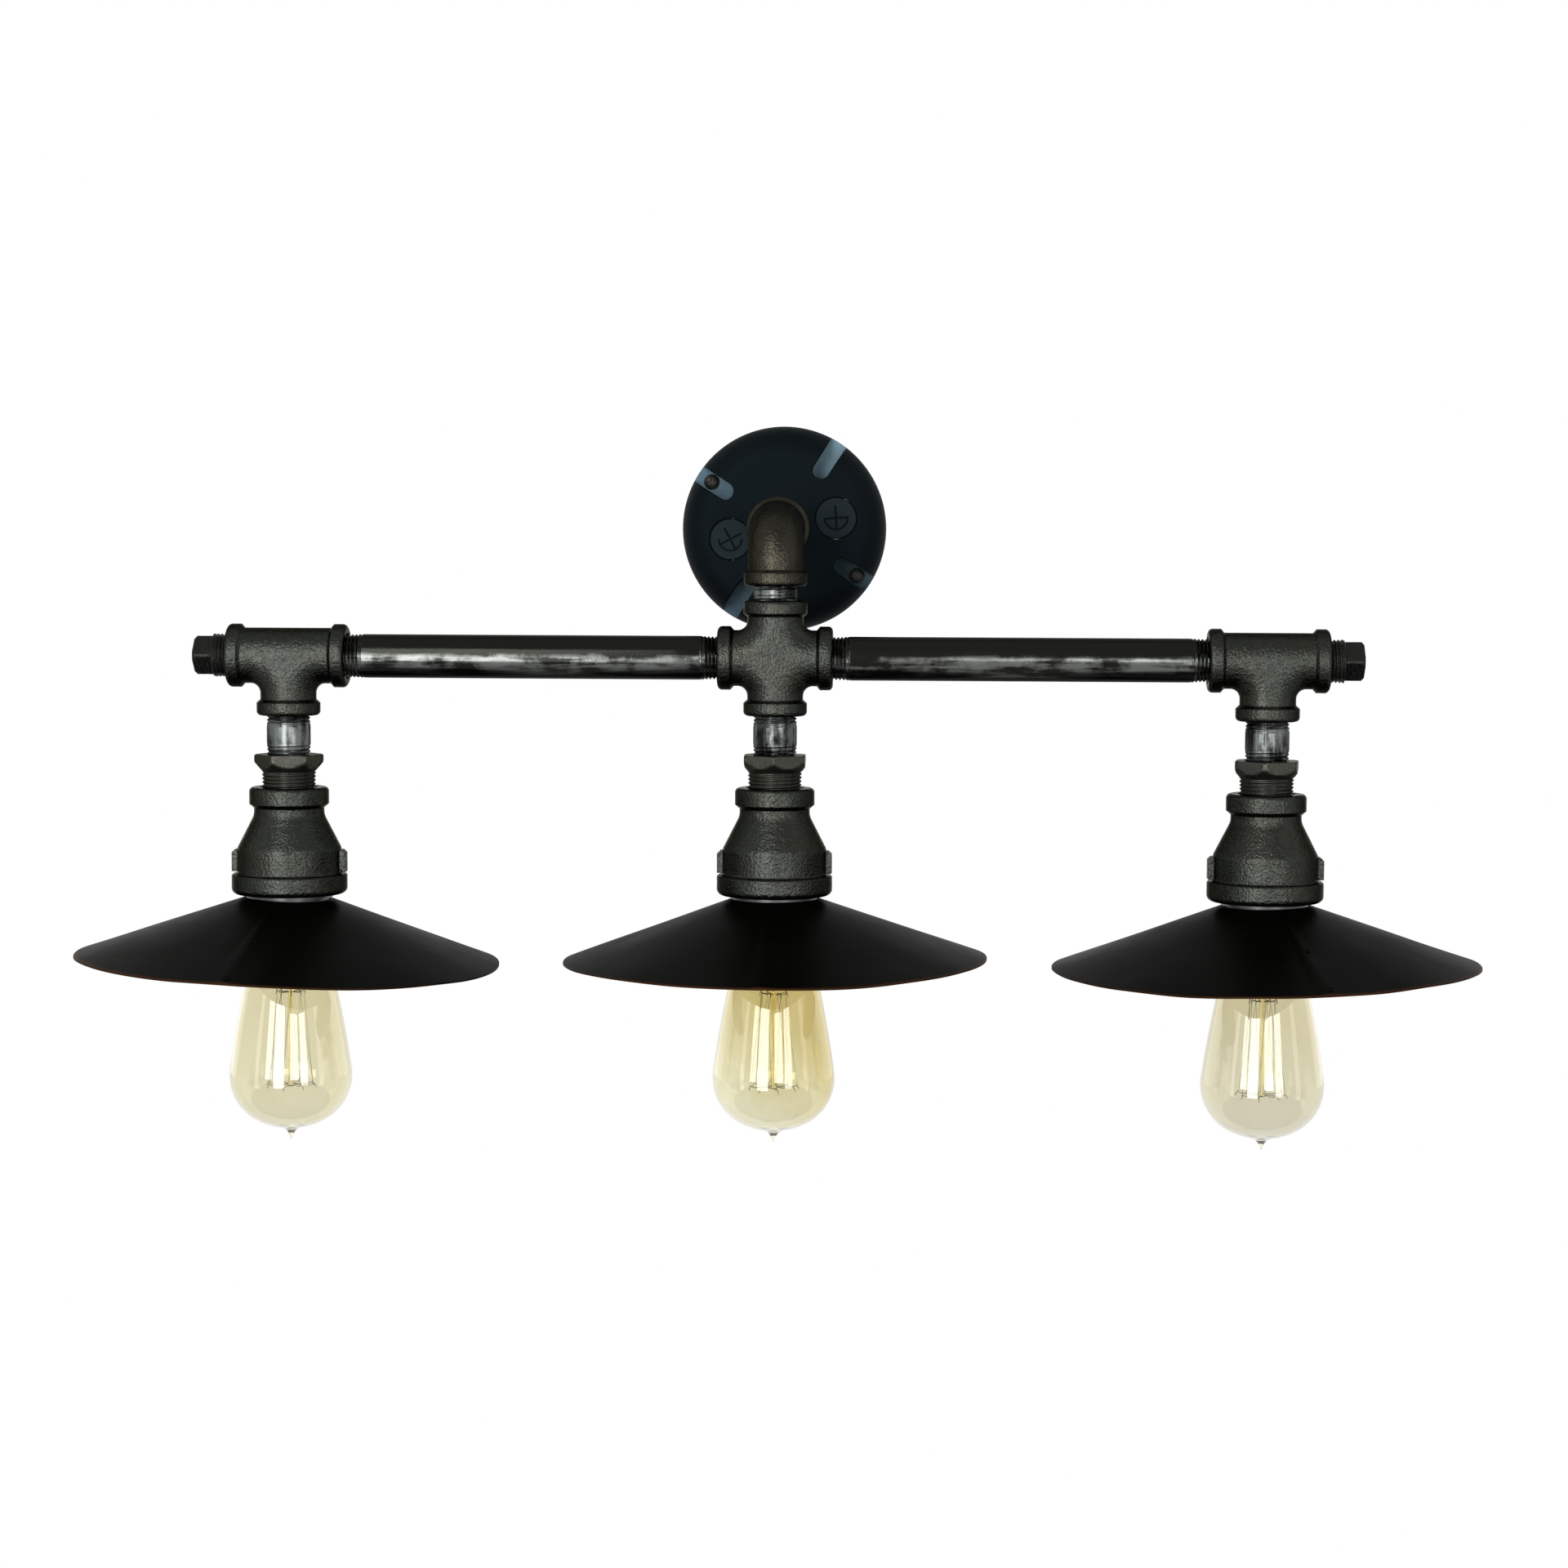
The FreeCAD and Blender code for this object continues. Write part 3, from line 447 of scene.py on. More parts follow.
def cover_coating():
    """The cover's satin black, with blue-grey channel floors in painted light: painted shade at the lower
    right, painted light towards the upper left and a painted highlight towards the upper right.
    """
    mat, tree, shader = coated("cover_black", COVER_BLACK, 0.54, 1500, 0.03 * MM, 0.5, 0.03, 1.1 * MM)
    shader.inputs["Specular Tint"].default_value = (*COATING_SHEEN, 1)
    floor_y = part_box("wall_cover")[1].y - CHANNEL_FLOOR
    own = own_xyz(tree)
    from_floor = math_of(tree, "ABSOLUTE", math_of(tree, "SUBTRACT", own["Y"], floor_y))
    on_floor = math_of(tree, "LESS_THAN", from_floor, 0.15 * MM)
    wear = noise_of(tree, place_coords(tree), 160, 4, 0.6)
    tones = (FLOOR_SHADED, FLOOR_LIT, FLOOR_HIGHLIGHT)
    dark, pale, bright = [ramp(tree, wear, [(0.3, fresh), (0.75, worn)]) for fresh, worn in tones]
    to_upper_left = math_of(tree, "SUBTRACT", own["Z"], own["X"])
    to_upper_right = math_of(tree, "ADD", own["Z"], own["X"])
    # Painted light on the floors: lighter towards the upper left, with a painted highlight towards the upper
    # right and painted shade elsewhere.
    lit = spread(tree, to_upper_left, -35 * MM, -5 * MM, 0, 1)
    corner = spread(tree, to_upper_right, 10 * MM, 40 * MM, 0, 1)
    lay_over(tree, shader, on_floor, mix_color(tree, corner, mix_color(tree, lit, dark, pale), bright))
    return mat


def closure_coating():
    """The closure plugs' satin black, with painted shade in their grooves."""
    mat, tree, shader = coated("closure_black", CLOSURE_BLACK, 0.44, 1500, 0.03 * MM, 0.5, 0.055, 0.3 * MM)
    shader.inputs["Specular Tint"].default_value = (*COATING_SHEEN, 1)
    front_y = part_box("right_closure_plug")[0].y
    own = own_xyz(tree)
    # Painted shade: surfaces sunk more than 0.35 mm behind the plug's front are painted near black.
    groove_shade = math_of(tree, "GREATER_THAN", own["Y"], front_y + 0.35 * MM)
    lay_over(tree, shader, groove_shade, GROOVE_SHADE)
    return mat


def shade_coating(name, centre):
    """Matt near-black on the shade, browned in a thin band at the rim's edge."""
    mat, tree, shader = coated(name, SHADE_BLACK, 0.40, 2400, 0.04 * MM, 0.5, 0.009)
    own = own_xyz(tree)
    dx = math_of(tree, "SUBTRACT", own["X"], centre.x)
    dy = math_of(tree, "SUBTRACT", own["Y"], centre.y)
    square = math_of(tree, "ADD", math_of(tree, "MULTIPLY", dx, dx), math_of(tree, "MULTIPLY", dy, dy))
    radius = math_of(tree, "SQRT", square)
    edge = spread(tree, radius, SHADE_R - 1.3 * MM, SHADE_R - 0.35 * MM, 0, 0.85)
    lay_over(tree, shader, edge, RIM_EDGE_BROWN)
    return mat


PHENOLIC = coated("phenolic", (0.016, 0.016, 0.017), 0.34, 1200, 0.02 * MM, 0.3)[0]
RUBBER = coated("gasket_foam", (0.028, 0.028, 0.028), 0.85, 900, 0.12 * MM, 0.4)[0]
SCREW_BLACK = coated("screw_steel", (0.012, 0.013, 0.011), 0.40, 1500, 0.03 * MM, 0.4, 0.15, 0.25 * MM)[0]


def brass(name, color):
    """Brass with a dull tarnish in places."""
    mat, tree, shader = material(name, color, metallic=1.0, roughness=0.28)
    place = place_coords(tree)
    tarnish = noise_of(tree, place, 130, 4, 0.6)
    dull = tuple(c * 0.62 for c in color)
    tree.links.new(ramp(tree, tarnish, [(0.35, dull), (0.65, color)]), shader.inputs["Base Color"])
    tree.links.new(spread(tree, tarnish, 0.3, 0.7, 0.38, 0.22), shader.inputs["Roughness"])
    bump(tree, shader, noise_of(tree, place, 1400, 2), 0.02 * MM, 0.4)
    return mat


BRASS = brass("brass", (0.72, 0.55, 0.26))
CAP_BRASS = brass("cap_brass", (0.78, 0.64, 0.38))
INSULATOR = coated("vitrite", (0.02, 0.018, 0.026), 0.15, 600, 0.02 * MM, 0.3)[0]


def glass(name, strong, pale, top_z, low_z, centre_x, lean):
    """Clear glass with an amber tint, stronger towards the neck and, by lean, towards one side."""
    mat, tree, shader = material(name, pale, roughness=0.0, IOR=1.48, Transmission_Weight=1.0)
    own = own_xyz(tree)
    height = spread(tree, own["Z"], low_z, top_z, 0, 1)
    cloud = noise_of(tree, place_coords(tree, (1, 1, 0.35)), 60, 4, 0.6)
    drift = spread(tree, cloud, 0.3, 0.7, -0.18, 0.18)
    side = spread(tree, own["X"], centre_x - BULB_R, centre_x + BULB_R, -lean, lean)
    amount = math_of(tree, "ADD", math_of(tree, "ADD", height, drift), side)
    tone = ramp(tree, amount, [(0.05, pale), (0.80, strong)])
    tree.links.new(tone, shader.inputs["Base Color"])
    bump(tree, shader, noise_of(tree, place_coords(tree, (1, 1, 0.5)), 26, 2, 0.5), 0.15 * MM, 0.03)
    return mat


WIRE = material("lamp_wire", (0.10, 0.085, 0.06), metallic=0.6, roughness=0.5)[0]
CLEAR = material("stem_glass", (0.93, 0.86, 0.60), roughness=0.02, IOR=1.48, Transmission_Weight=1.0)[0]


# ==== Pipework
DROP_THREAD = 15.2 * MM


def dress(obj, look):
    """Gives a piece its material."""
    obj.data.materials.append(look)


def build_pipework():
    """The arms, the wall nipple, the close nipple, which is all thread, and the three drop nipples."""
    for side in ("left", "right"):
        arm = pipe_piece(side + "_arm_pipe", side + "_arm", X_AXIS, THREAD_LENGTH, THREAD_LENGTH)
        dress(arm, ARM_STEEL)
    wall = pipe_piece("wall_nipple_pipe", "wall_nipple", Y_AXIS, THREAD_LENGTH, THREAD_LENGTH)
    dress(wall, WALL_STEEL)
    low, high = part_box("close_nipple")
    half = (high.z - low.z) / 2
    close = pipe_piece("close_nipple_pipe", "close_nipple", Z_AXIS, half, half)
    dress(close, NIPPLE_STEEL)
    for lamp in LAMPS:
        name = lamp + "_drop_nipple"
        drop = pipe_piece(name + "_pipe", name, Z_AXIS, DROP_THREAD, DROP_THREAD)
        dress(drop, NIPPLE_STEEL)


HEX_FLATS = 29.5 * MM
HEX_HEIGHT = 8.0 * MM
HEX_RINGS = (0.0, 0.12, 0.25, 0.38, 0.5, 0.62, 0.75, 0.85, 0.93, 1.0)
HEX_TURN = {"left": 10, "centre": 30, "right": 20}
PLUG_SQUARE = 14.3 * MM
PLUG_CORNER_R = 9.4 * MM
PLUG_HEAD = 9.6 * MM
PLUG_HOLLOW_R, PLUG_FLOOR = 6.0 * MM, 2 * MM
PLUG_BEVEL_IN, PLUG_BEVEL_OUT = 0.4 * MM, 1.2 * MM
TURNED_SEGMENTS = 96


def hexagon_rings(corner, turn, low, high):
    """A hexagon bevelled by cones: a shallow one on top and a deep one that runs down into the thread."""
    rings = []
    for share in HEX_RINGS:
        height = (high - low) * share
        below = BUSHING_R * 0.99 + height * 0.85
        above = corner - 0.9 * MM + (high - low - height) * 1.2
        cone = min(below, above, corner)
        rings.append((lambda a, cone=cone: min(polygon_radius(a, 6, HEX_FLATS, turn), cone), low + height))
    return rings


def build_bushings():
    """Hexagon bushings: a bevelled hexagon, a cone under it, then 3/4 inch thread."""
    for lamp in LAMPS:
        name = lamp + "_hex_bushing"
        low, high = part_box(name)
        length = high.z - low.z
        shank = length - HEX_HEIGHT
        corner = HEX_FLATS / 2 / cos(radians(30))
        turn = radians(HEX_TURN[lamp] + 30)
        rings = [(PIPE_R, length), (PIPE_R, shank), (PIPE_BORE_R, shank), (PIPE_BORE_R, 0)]
        for h in thread_heights(shank, shank - 1.2 * MM, 0):
            rings.append((lambda a, h=h: thread_radius(BUSHING_R, shank * 2, h, a, shank * 1.2, 0), h))
        rings += hexagon_rings(corner, turn, shank, length)
        origin = Vector((middle(name).x, middle(name).y, low.z))
        obj = turned_body(name + "_body", rings, TURNED_SEGMENTS, along(Z_AXIS, origin), sharp=32)
        ride_and_replace(obj, FIXTURE, name)
        dress(obj, BUSHING_IRON)


def build_end_plugs():
    """Square-head plugs in the outer ports of the tees, a corner towards the room."""
    for side, axis in (("left", -X_AXIS), ("right", X_AXIS)):
        name = side + "_end_plug"
        low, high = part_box(name)
        length = high.x - low.x
        shank = length - PLUG_HEAD
        centre = middle(name)
        origin = centre - axis * length / 2
        rings = [(PLUG_HOLLOW_R, shank - PLUG_FLOOR), (PLUG_HOLLOW_R, 0)]
        for h in thread_heights(shank, shank - 1.0 * MM, 0):
            rings.append((lambda a, h=h: thread_radius(PIPE_R, shank * 2, h, a, shank * 1.1, 0), h))
        bevels = (PLUG_BEVEL_IN, PLUG_BEVEL_OUT)
        rings += stock_rings(4, PLUG_SQUARE, PLUG_CORNER_R, pi / 4, shank, length, *bevels)
        rings += [(0.0, length), (0.0, shank - PLUG_FLOOR)]
        obj = turned_body(name + "_body", rings, TURNED_SEGMENTS, along(axis, origin), sharp=32)
        ride_and_replace(obj, FIXTURE, name)
        dress(obj, PLUG_STEEL)


# ==== Shades
SHADE = {
    "left": {"tilt": -2.0, "seam": -97.0},
    "centre": {"tilt": 0.7, "seam": -92.0},
    "right": {"tilt": 1.2, "seam": -80.0},
}
SHADE_SHEET = 0.8 * MM
SHADE_TOP_R = 21.5 * MM
SHADE_HOLE_R = 19.9 * MM
SHADE_SLOPE = radians(20.0)
SHADE_COLUMNS, SHADE_STEPS = 180, 16
RIM_ROUND = 0.15 * MM
LAP_WIDTH, LAP_LIFT = radians(5), 0.55 * MM
LAP_START = 1e-4
WELD_SHARES, WELD_OFFSET = (0.07, 0.5, 0.94), 2.2 * MM
WELD_PROFILE = ((1.0, -0.25), (0.88, 0.5), (0.72, 0.35), (0.4, -0.15), (0.0, -0.2))
WELD_SIDES = 20


def build_shades():
    """Each shade is one sheet rolled to a cone: its lap seam, spot welds and slightly uneven rim."""
    for lamp in LAMPS:
        name = lamp + "_shade"
        low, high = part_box(name)
        centre = middle(lamp + "_lampholder")
        tilt = Matrix.Rotation(radians(-SHADE[lamp]["tilt"]), 4, "Y")
        top_z = high.z - abs(sin(radians(SHADE[lamp]["tilt"]))) * SHADE_TOP_R - 0.02 * MM
        place = Matrix.Translation((centre.x, centre.y, top_z)) @ tilt
        obj = shade_mesh(name + "_sheet", radians(SHADE[lamp]["seam"]), place, LAMPS.index(lamp))
        ride_and_replace(obj, FIXTURE, name)
        dress(obj, shade_coating("shade_black_" + lamp, centre))


def shade_mesh(name, seam, place, seed):
    """The rolled sheet with its lap, its slow waves and three spot welds beside the seam."""
    cone_top = SHADE_TOP_R + 2 * MM
    radii = [SHADE_HOLE_R, SHADE_TOP_R - 0.8 * MM, SHADE_TOP_R, cone_top]
    radii += [cone_top + (SHADE_R - SHADE_TOP_R - 2 * MM) * k / SHADE_STEPS for k in range(1, SHADE_STEPS)]

    def point(radius, angle, below):
        share = max(0.0, (radius - SHADE_TOP_R) / (SHADE_R - SHADE_TOP_R))
        wave = sin(2 * angle + seed) * 0.5 + sin(3 * angle + 2.1 * seed) * 0.35 + sin(7 * angle) * 0.12
        ripple = noise.noise(Vector((cos(angle) * 3, sin(angle) * 3, seed + share * 2))) * 0.35
        lift = (wave * share ** 2 + ripple * share) * MM
        after_seam = (angle - seam) % (2 * pi)
        lap = max(0.0, 1 - after_seam / LAP_WIDTH) * min(1.0, share * 12) * LAP_LIFT
        z = lift - max(0.0, radius - SHADE_TOP_R) * tan(SHADE_SLOPE) - (SHADE_SHEET if below else -lap)
        return place @ Vector((radius * cos(angle), radius * sin(angle), z))

    # The first column stands just past the seam, so that it takes the lap's full height.
    angles = [seam + LAP_START] + [seam + 2 * pi * (c / SHADE_COLUMNS) for c in range(1, SHADE_COLUMNS)]
    radii.append(SHADE_R - RIM_ROUND)
    profile = [(r, False) for r in radii] + [(r, True) for r in reversed(radii)]
    verts = [point(radius, angle, below) for radius, below in profile for angle in angles]
    obj = to_object(name, verts, grid_faces(len(profile), SHADE_COLUMNS, True), 35)
    outward = Vector((cos(seam), sin(seam), 0)) * sin(SHADE_SLOPE)
    normal = place.to_3x3() @ (outward + Z_AXIS * cos(SHADE_SLOPE))
    for share in WELD_SHARES:
        radius = SHADE_TOP_R + (SHADE_R - SHADE_TOP_R) * share
        add_weld(obj, point(radius, seam + WELD_OFFSET / radius, False), normal)
    return obj


def add_weld(obj, at, normal, radius=2.1 * MM, depth=0.45 * MM):
    """A small pressed spot on the sheet: a raised lip round a dimple."""
    bm = bmesh.new()
    bm.from_mesh(obj.data)
    turn = Z_AXIS.rotation_difference(normal).to_matrix()
    rows = []
    for share, lift in WELD_PROFILE[:-1]:
        ring = []
        for c in range(WELD_SIDES):
            a = 2 * pi * c / WELD_SIDES
            offset = turn @ Vector((radius * share * cos(a), radius * share * sin(a), lift * depth))
            ring.append(bm.verts.new(at + offset))
        rows.append(ring)
    centre = bm.verts.new(at + turn @ Vector((0, 0, WELD_PROFILE[-1][1] * depth)))
    for a, b in zip(rows, rows[1:]):
        for c in range(WELD_SIDES):
            d = (c + 1) % WELD_SIDES
            bm.faces.new((a[c], a[d], b[d], b[c])).smooth = True
    for c in range(WELD_SIDES):
        bm.faces.new((rows[-1][c], rows[-1][(c + 1) % WELD_SIDES], centre)).smooth = True
    bm.to_mesh(obj.data)
    bm.free()


# ==== Bulbs
BULB_LENGTH = 133.0 * MM
BULB_BELLY = 31.8 * MM
TIP_LENGTH = 5.6 * MM
TIP_R = 0.9 * MM
BELLY_ROUND = 25.0 * MM
FLANK_ROUND = 600.0 * MM
FLANK_LEAN = 8.0
FLANK_TOP = 13.5
NECK_R = 12.3 * MM
CAP_LENGTH = 23.5 * MM
NECK_RISE = 8.0 * MM
GLASS_WALL = 0.5 * MM
TIP_JOINS_R = 8.0 * MM
TIP_TAPER = ((1.25, 2.1), (1.65, 3.0), (2.2, 3.9), (3.0, 4.75), (4.2, 5.4), (5.8, 5.95), (7.3, 6.35))
# How far below the cap's top the glass reaches its neck colour
TINT_TOP = 50 * MM
# Each bulb's glass: its colour towards the neck, the one at the bottom, and the lean to one side
GLASS_TINTS = {
    "left": ((0.825, 0.785, 0.610), (0.860, 0.835, 0.690), 0.06),
    "centre": ((0.765, 0.690, 0.430), (0.890, 0.875, 0.735), 0.30),
    "right": ((0.795, 0.755, 0.595), (0.825, 0.805, 0.700), 0.05),
}


def arc_points(centre, radius, start, end, count):
    """Points of an arc between two angles in degrees."""
    points = []
    for k in range(count + 1):
        angle = radians(start + (end - start) * k / count)
        points.append((centre[0] + radius * cos(angle), centre[1] + radius * sin(angle)))
    return points


def envelope(inset):
    """The glass's half outline from bottom to neck as tangent arcs, inset from the outside."""
    belly_z = -(BULB_LENGTH - BULB_BELLY)
    depth = BULB_BELLY - TIP_LENGTH
    belly = (BULB_R - BELLY_ROUND, belly_z)
    run = belly[0]
    bottom_round = (run ** 2 + depth ** 2 - BELLY_ROUND ** 2) / (2 * (depth - BELLY_ROUND))
    bottom = (0.0, belly_z - depth + bottom_round)
    low = degrees(atan2(bottom[1] - belly_z, -run)) - 180
    reach = FLANK_ROUND - BELLY_ROUND
    flank = (belly[0] - reach * cos(radians(FLANK_LEAN)), belly_z - reach * sin(radians(FLANK_LEAN)))
    points = arc_points(bottom, bottom_round - inset, -90, low, 12)
    points += arc_points(belly, BELLY_ROUND - inset, low, FLANK_LEAN, 16)[1:]
    points += arc_points(flank, FLANK_ROUND - inset, FLANK_LEAN, FLANK_TOP, 10)[1:]
    neck = NECK_R - inset
    neck_z = -CAP_LENGTH - 1.0 * MM
    start_r, start_z = points[-1]
    for k in range(1, 13):
        t = k / 12
        blend = t * t * (3 - 2 * t)
        narrowed = 0.35 * t + 0.65 * blend
        points.append((start_r + (neck - start_r) * narrowed, start_z + (neck_z - start_z) * t))
    points.append((neck, -CAP_LENGTH + NECK_RISE))
    return points


def build_bulbs():
    """Each bulb's pieces are drawn down from its cap's top."""
    for lamp in LAMPS:
        body = lamp + "_bulb"
        centre = middle(lamp + "_bulb_glass")
        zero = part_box(lamp + "_bulb_glass")[0].z + BULB_LENGTH
        place = Matrix.Translation((centre.x, centre.y, zero))
        build_envelope(lamp, body, place, zero)
        build_stem(lamp, body, place)
        build_wires(lamp, body, place)


def build_envelope(lamp, body, place, zero):
    """The blown glass with its sealed-off tip, which runs into the belly in an ogee."""
    outer, inner = envelope(0), envelope(GLASS_WALL)
    end = -BULB_LENGTH
    tip = [(0.0, end), (TIP_R * 0.6, end + 0.15 * MM)]
    tip += [(TIP_R, end + 0.7 * MM), (TIP_R * 0.95, end + 1.2 * MM)]
    tip += [(radius * MM, end + height * MM) for radius, height in TIP_TAPER]
    outer = tip + [p for p in outer if p[0] > TIP_JOINS_R]
    inner[0] = (0.0, inner[0][1])
    rings = outer + list(reversed(inner))
    obj = turned_body(lamp + "_bulb_envelope", rings, TURNED_SEGMENTS, place, sharp=80)
    weld_poles(obj)
    ride_and_replace(obj, body, lamp + "_bulb_glass")
    strong, pale, lean = GLASS_TINTS[lamp]
    name, bottom, centre_x = "amber_glass_" + lamp, zero - BULB_LENGTH, place.translation.x
    dress(obj, glass(name, strong, pale, zero - TINT_TOP, bottom, centre_x, lean))


def weld_poles(obj):
    """Joins the rings that have shrunk to a point on the axis."""
    bm = bmesh.new()
    bm.from_mesh(obj.data)
    bmesh.ops.remove_doubles(bm, verts=bm.verts, dist=1e-6)
    bmesh.ops.recalc_face_normals(bm, faces=bm.faces)
    bm.to_mesh(obj.data)
    bm.free()


CAGE_TOP = -62.0 * MM
CAGE_BOTTOM = -106.0 * MM
FOOT_R, PRESS_R = 8.5, 2.5
FOOT_RIM, FOOT_DROP = 1.5 * MM, 18.5 * MM
FOOT_RISE = 6 * MM
FOOT_RINGS = 8
# The press, then the rod and its button: radius, and height over CAGE_TOP or CAGE_BOTTOM, in millimetres
PRESS_AND_SHOULDER = ((2.5, 8), (2.3, 5), (1.3, 1))
ROD_AND_BUTTON = ((1.2, 6), (1.25, 2), (2.1, 0.6), (2.0, -0.8), (0.0, -1.3))
SUPPORT_WIRE_R, FILAMENT_R = 0.16 * MM, 0.07 * MM
SUPPORTS = 8
STAR_SHIFT = {"left": 0.2, "centre": 0.55, "right": 0.9}
UPPER_REACH, LOWER_REACH = 6.5, 11.6
# A support wire's line: share of its reach, and rise in millimetres
SUPPORT_LINE = ((0.4, 0.0), (0.55, -0.1), (0.86, 0.1), (0.97, 0.5), (1.0, 1.3))


def build_stem(lamp, body, place):
    """The flared foot, the pinched press and the thin rod with its button that hold the wires."""
    top = -CAP_LENGTH + FOOT_RISE
    rings = [(0.0, top), (FOOT_R * MM, top), (FOOT_R * MM, top - FOOT_RIM)]
    for k in range(1, FOOT_RINGS + 1):
        t = k / FOOT_RINGS
        flare = 1 - (1 - t) ** 2
        rings.append(((FOOT_R - (FOOT_R - PRESS_R) * flare) * MM, top - FOOT_RIM - FOOT_DROP * t))
    rings += [(radius * MM, CAGE_TOP + rise * MM) for radius, rise in PRESS_AND_SHOULDER]
    rings += [(radius * MM, CAGE_BOTTOM + rise * MM) for radius, rise in ROD_AND_BUTTON]
    obj = turned_body(lamp + "_stem_glass", rings, 32, place, closed=False, sharp=60)
    weld_poles(obj)
    ride_and_replace(obj, body, lamp + "_bulb_stem")
    dress(obj, CLEAR)


def wire(name, paths, radius, place, sides=6):
    """Fine round wires along paths, as one mesh."""
    verts, faces = [], []
    for path in paths:
        points = [place @ Vector(p) for p in path]
        first = len(verts)
        side = None
        for k, at in enumerate(points):
            ahead = (points[min(k + 1, len(points) - 1)] - points[max(k - 1, 0)]).normalized()
            if side is None:
                side = ahead.orthogonal().normalized()
            side = (side - ahead * side.dot(ahead)).normalized()
            other = ahead.cross(side)
            for c in range(sides):
                a = 2 * pi * c / sides
                verts.append(at + (side * cos(a) + other * sin(a)) * radius)
        faces += grid_faces(len(points), sides, False, first)
        faces.append(tuple(range(first, first + sides)))
        faces.append(tuple(range(len(verts) - sides, len(verts))))
    return to_object(name, verts, faces, 60)


def build_wires(lamp, body, place):
    """Two stars of hooked support wires, and the hair-thin filament that hangs between them."""
    shift = STAR_SHIFT[lamp]
    supports, strands = [], []
    for k in range(SUPPORTS):
        for level, offset, reach in ((CAGE_TOP + 2 * MM, 0.0, UPPER_REACH), (CAGE_BOTTOM, 0.5, LOWER_REACH)):
            a = 2 * pi * (k + offset) / SUPPORTS + shift
            wobble = noise.noise(Vector((k * 1.7, level * 50, shift))) * 1.6
            r = (reach + wobble * 0.5) * MM
            dip = wobble * 0.5 * MM
            path = [(1.6 * MM * cos(a), 1.6 * MM * sin(a), level)]
            path += [(r * s * cos(a), r * s * sin(a), level + dip * s + h * MM) for s, h in SUPPORT_LINE]
            hook = a + 0.07
            path += [(r * 1.04 * cos(hook), r * 1.04 * sin(hook), level + dip + 0.2 * MM)]
            path += [(r * 1.10 * cos(hook), r * 1.10 * sin(hook), level + dip - 1.2 * MM)]
            supports.append(path)
    for k in range(SUPPORTS - 1):
        a = 2 * pi * k / SUPPORTS + shift
        for turn in (-0.5, 0.5):
            b = 2 * pi * (k + turn) / SUPPORTS + shift
            top = Vector((6.4 * MM * cos(a), 6.4 * MM * sin(a), CAGE_TOP + 2.4 * MM))
            low = Vector((11.4 * MM * cos(b), 11.4 * MM * sin(b), CAGE_BOTTOM + 1.2 * MM))
            strands.append([tuple(top.lerp(low, t)) for t in (0, 0.33, 0.66, 1)])
    obj = wire(lamp + "_support_wires", supports, SUPPORT_WIRE_R, place)
    ride_and_replace(obj, body, lamp + "_bulb_supports")
    dress(obj, WIRE)
    obj = wire(lamp + "_filament_thread", strands, FILAMENT_R, place)
    ride_and_replace(obj, body, lamp + "_bulb_filament")
    dress(obj, WIRE)


# ==== Materials on the CAD nodes that stay
def dress_cad():
    """Gives every CAD node the material of its slot, with its own for the elbow and the closure plugs."""
    looks = {
        "cast_iron": CAST, "pipe_steel": ARM_STEEL, "nipple_steel": NIPPLE_STEEL, "cover": cover_coating(),
        "gasket": RUBBER, "screw_steel": SCREW_BLACK, "phenolic": PHENOLIC, "brass": BRASS,
        "cap_brass": CAP_BRASS, "insulator_glass": INSULATOR, "shade_paint": PHENOLIC,
        "amber_glass": CLEAR, "clear_glass": CLEAR, "lamp_wire": WIRE,
    }
    closure = closure_coating()
    for name, obj in frame["nodes"].items():
        look = CAST_WARM if name == "elbow" else looks[slot_of(name)]
        if name.endswith("closure_plug"):
            look = closure
        obj.data.materials.clear()
        obj.data.materials.append(look)


# ==== Stage, light and camera
CAMERA_DISTANCE = 1.600
CAMERA_YAW = radians(2.50)
CAMERA_RISE = radians(2.08)
CAMERA_ROLL = radians(0.242)
CAMERA_LENS = 75.53
AIM_FROM_CROSS = Vector((4.48 * MM, 0, -61.28 * MM))
SENSOR_WIDTH = 36
CLIP = (0.05, 60)
FLOOR_DROP, FLOOR_SIZE = 0.75, 30
FLOOR_GREY = (0.25, 0.25, 0.23)
ROOM_COLOR, ROOM_LIGHT = (0.92, 0.92, 0.84), 0.06
WHITE = (1, 1, 1)


def seen_as_white(tree):
    """1 for what the camera sees straight on, in reflections or through glass, and 0 for any other ray."""
    path = node(tree, "ShaderNodeLightPath")
    seen = math_of(tree, "MAXIMUM", path.outputs["Is Camera Ray"], path.outputs["Is Transmission Ray"])
    return math_of(tree, "MAXIMUM", seen, path.outputs["Is Glossy Ray"])


def mix_shaders(tree, factor, first, second, out):
    """Leads a mix of two shaders to the output."""
    mix = node(tree, "ShaderNodeMixShader")
    tree.links.new(factor, mix.inputs[0])
    tree.links.new(first.outputs[0], mix.inputs[1])
    tree.links.new(second.outputs[0], mix.inputs[2])
    tree.links.new(mix.outputs[0], out.inputs["Surface"])


def bright_stage_material(name, color):
    """Plain white to the camera, in reflections and through glass, an ordinary grey surface to other rays."""
    mat = bpy.data.materials.new(name)
    mat.use_nodes = True
    tree = mat.node_tree
    tree.nodes.clear()
    out = node(tree, "ShaderNodeOutputMaterial")
    light = node(tree, "ShaderNodeEmission")
    light.inputs["Color"].default_value = (*WHITE, 1)
    plain = node(tree, "ShaderNodeBsdfDiffuse")
    plain.inputs["Color"].default_value = (*color, 1)
    mix_shaders(tree, seen_as_white(tree), plain, light, out)
    return mat


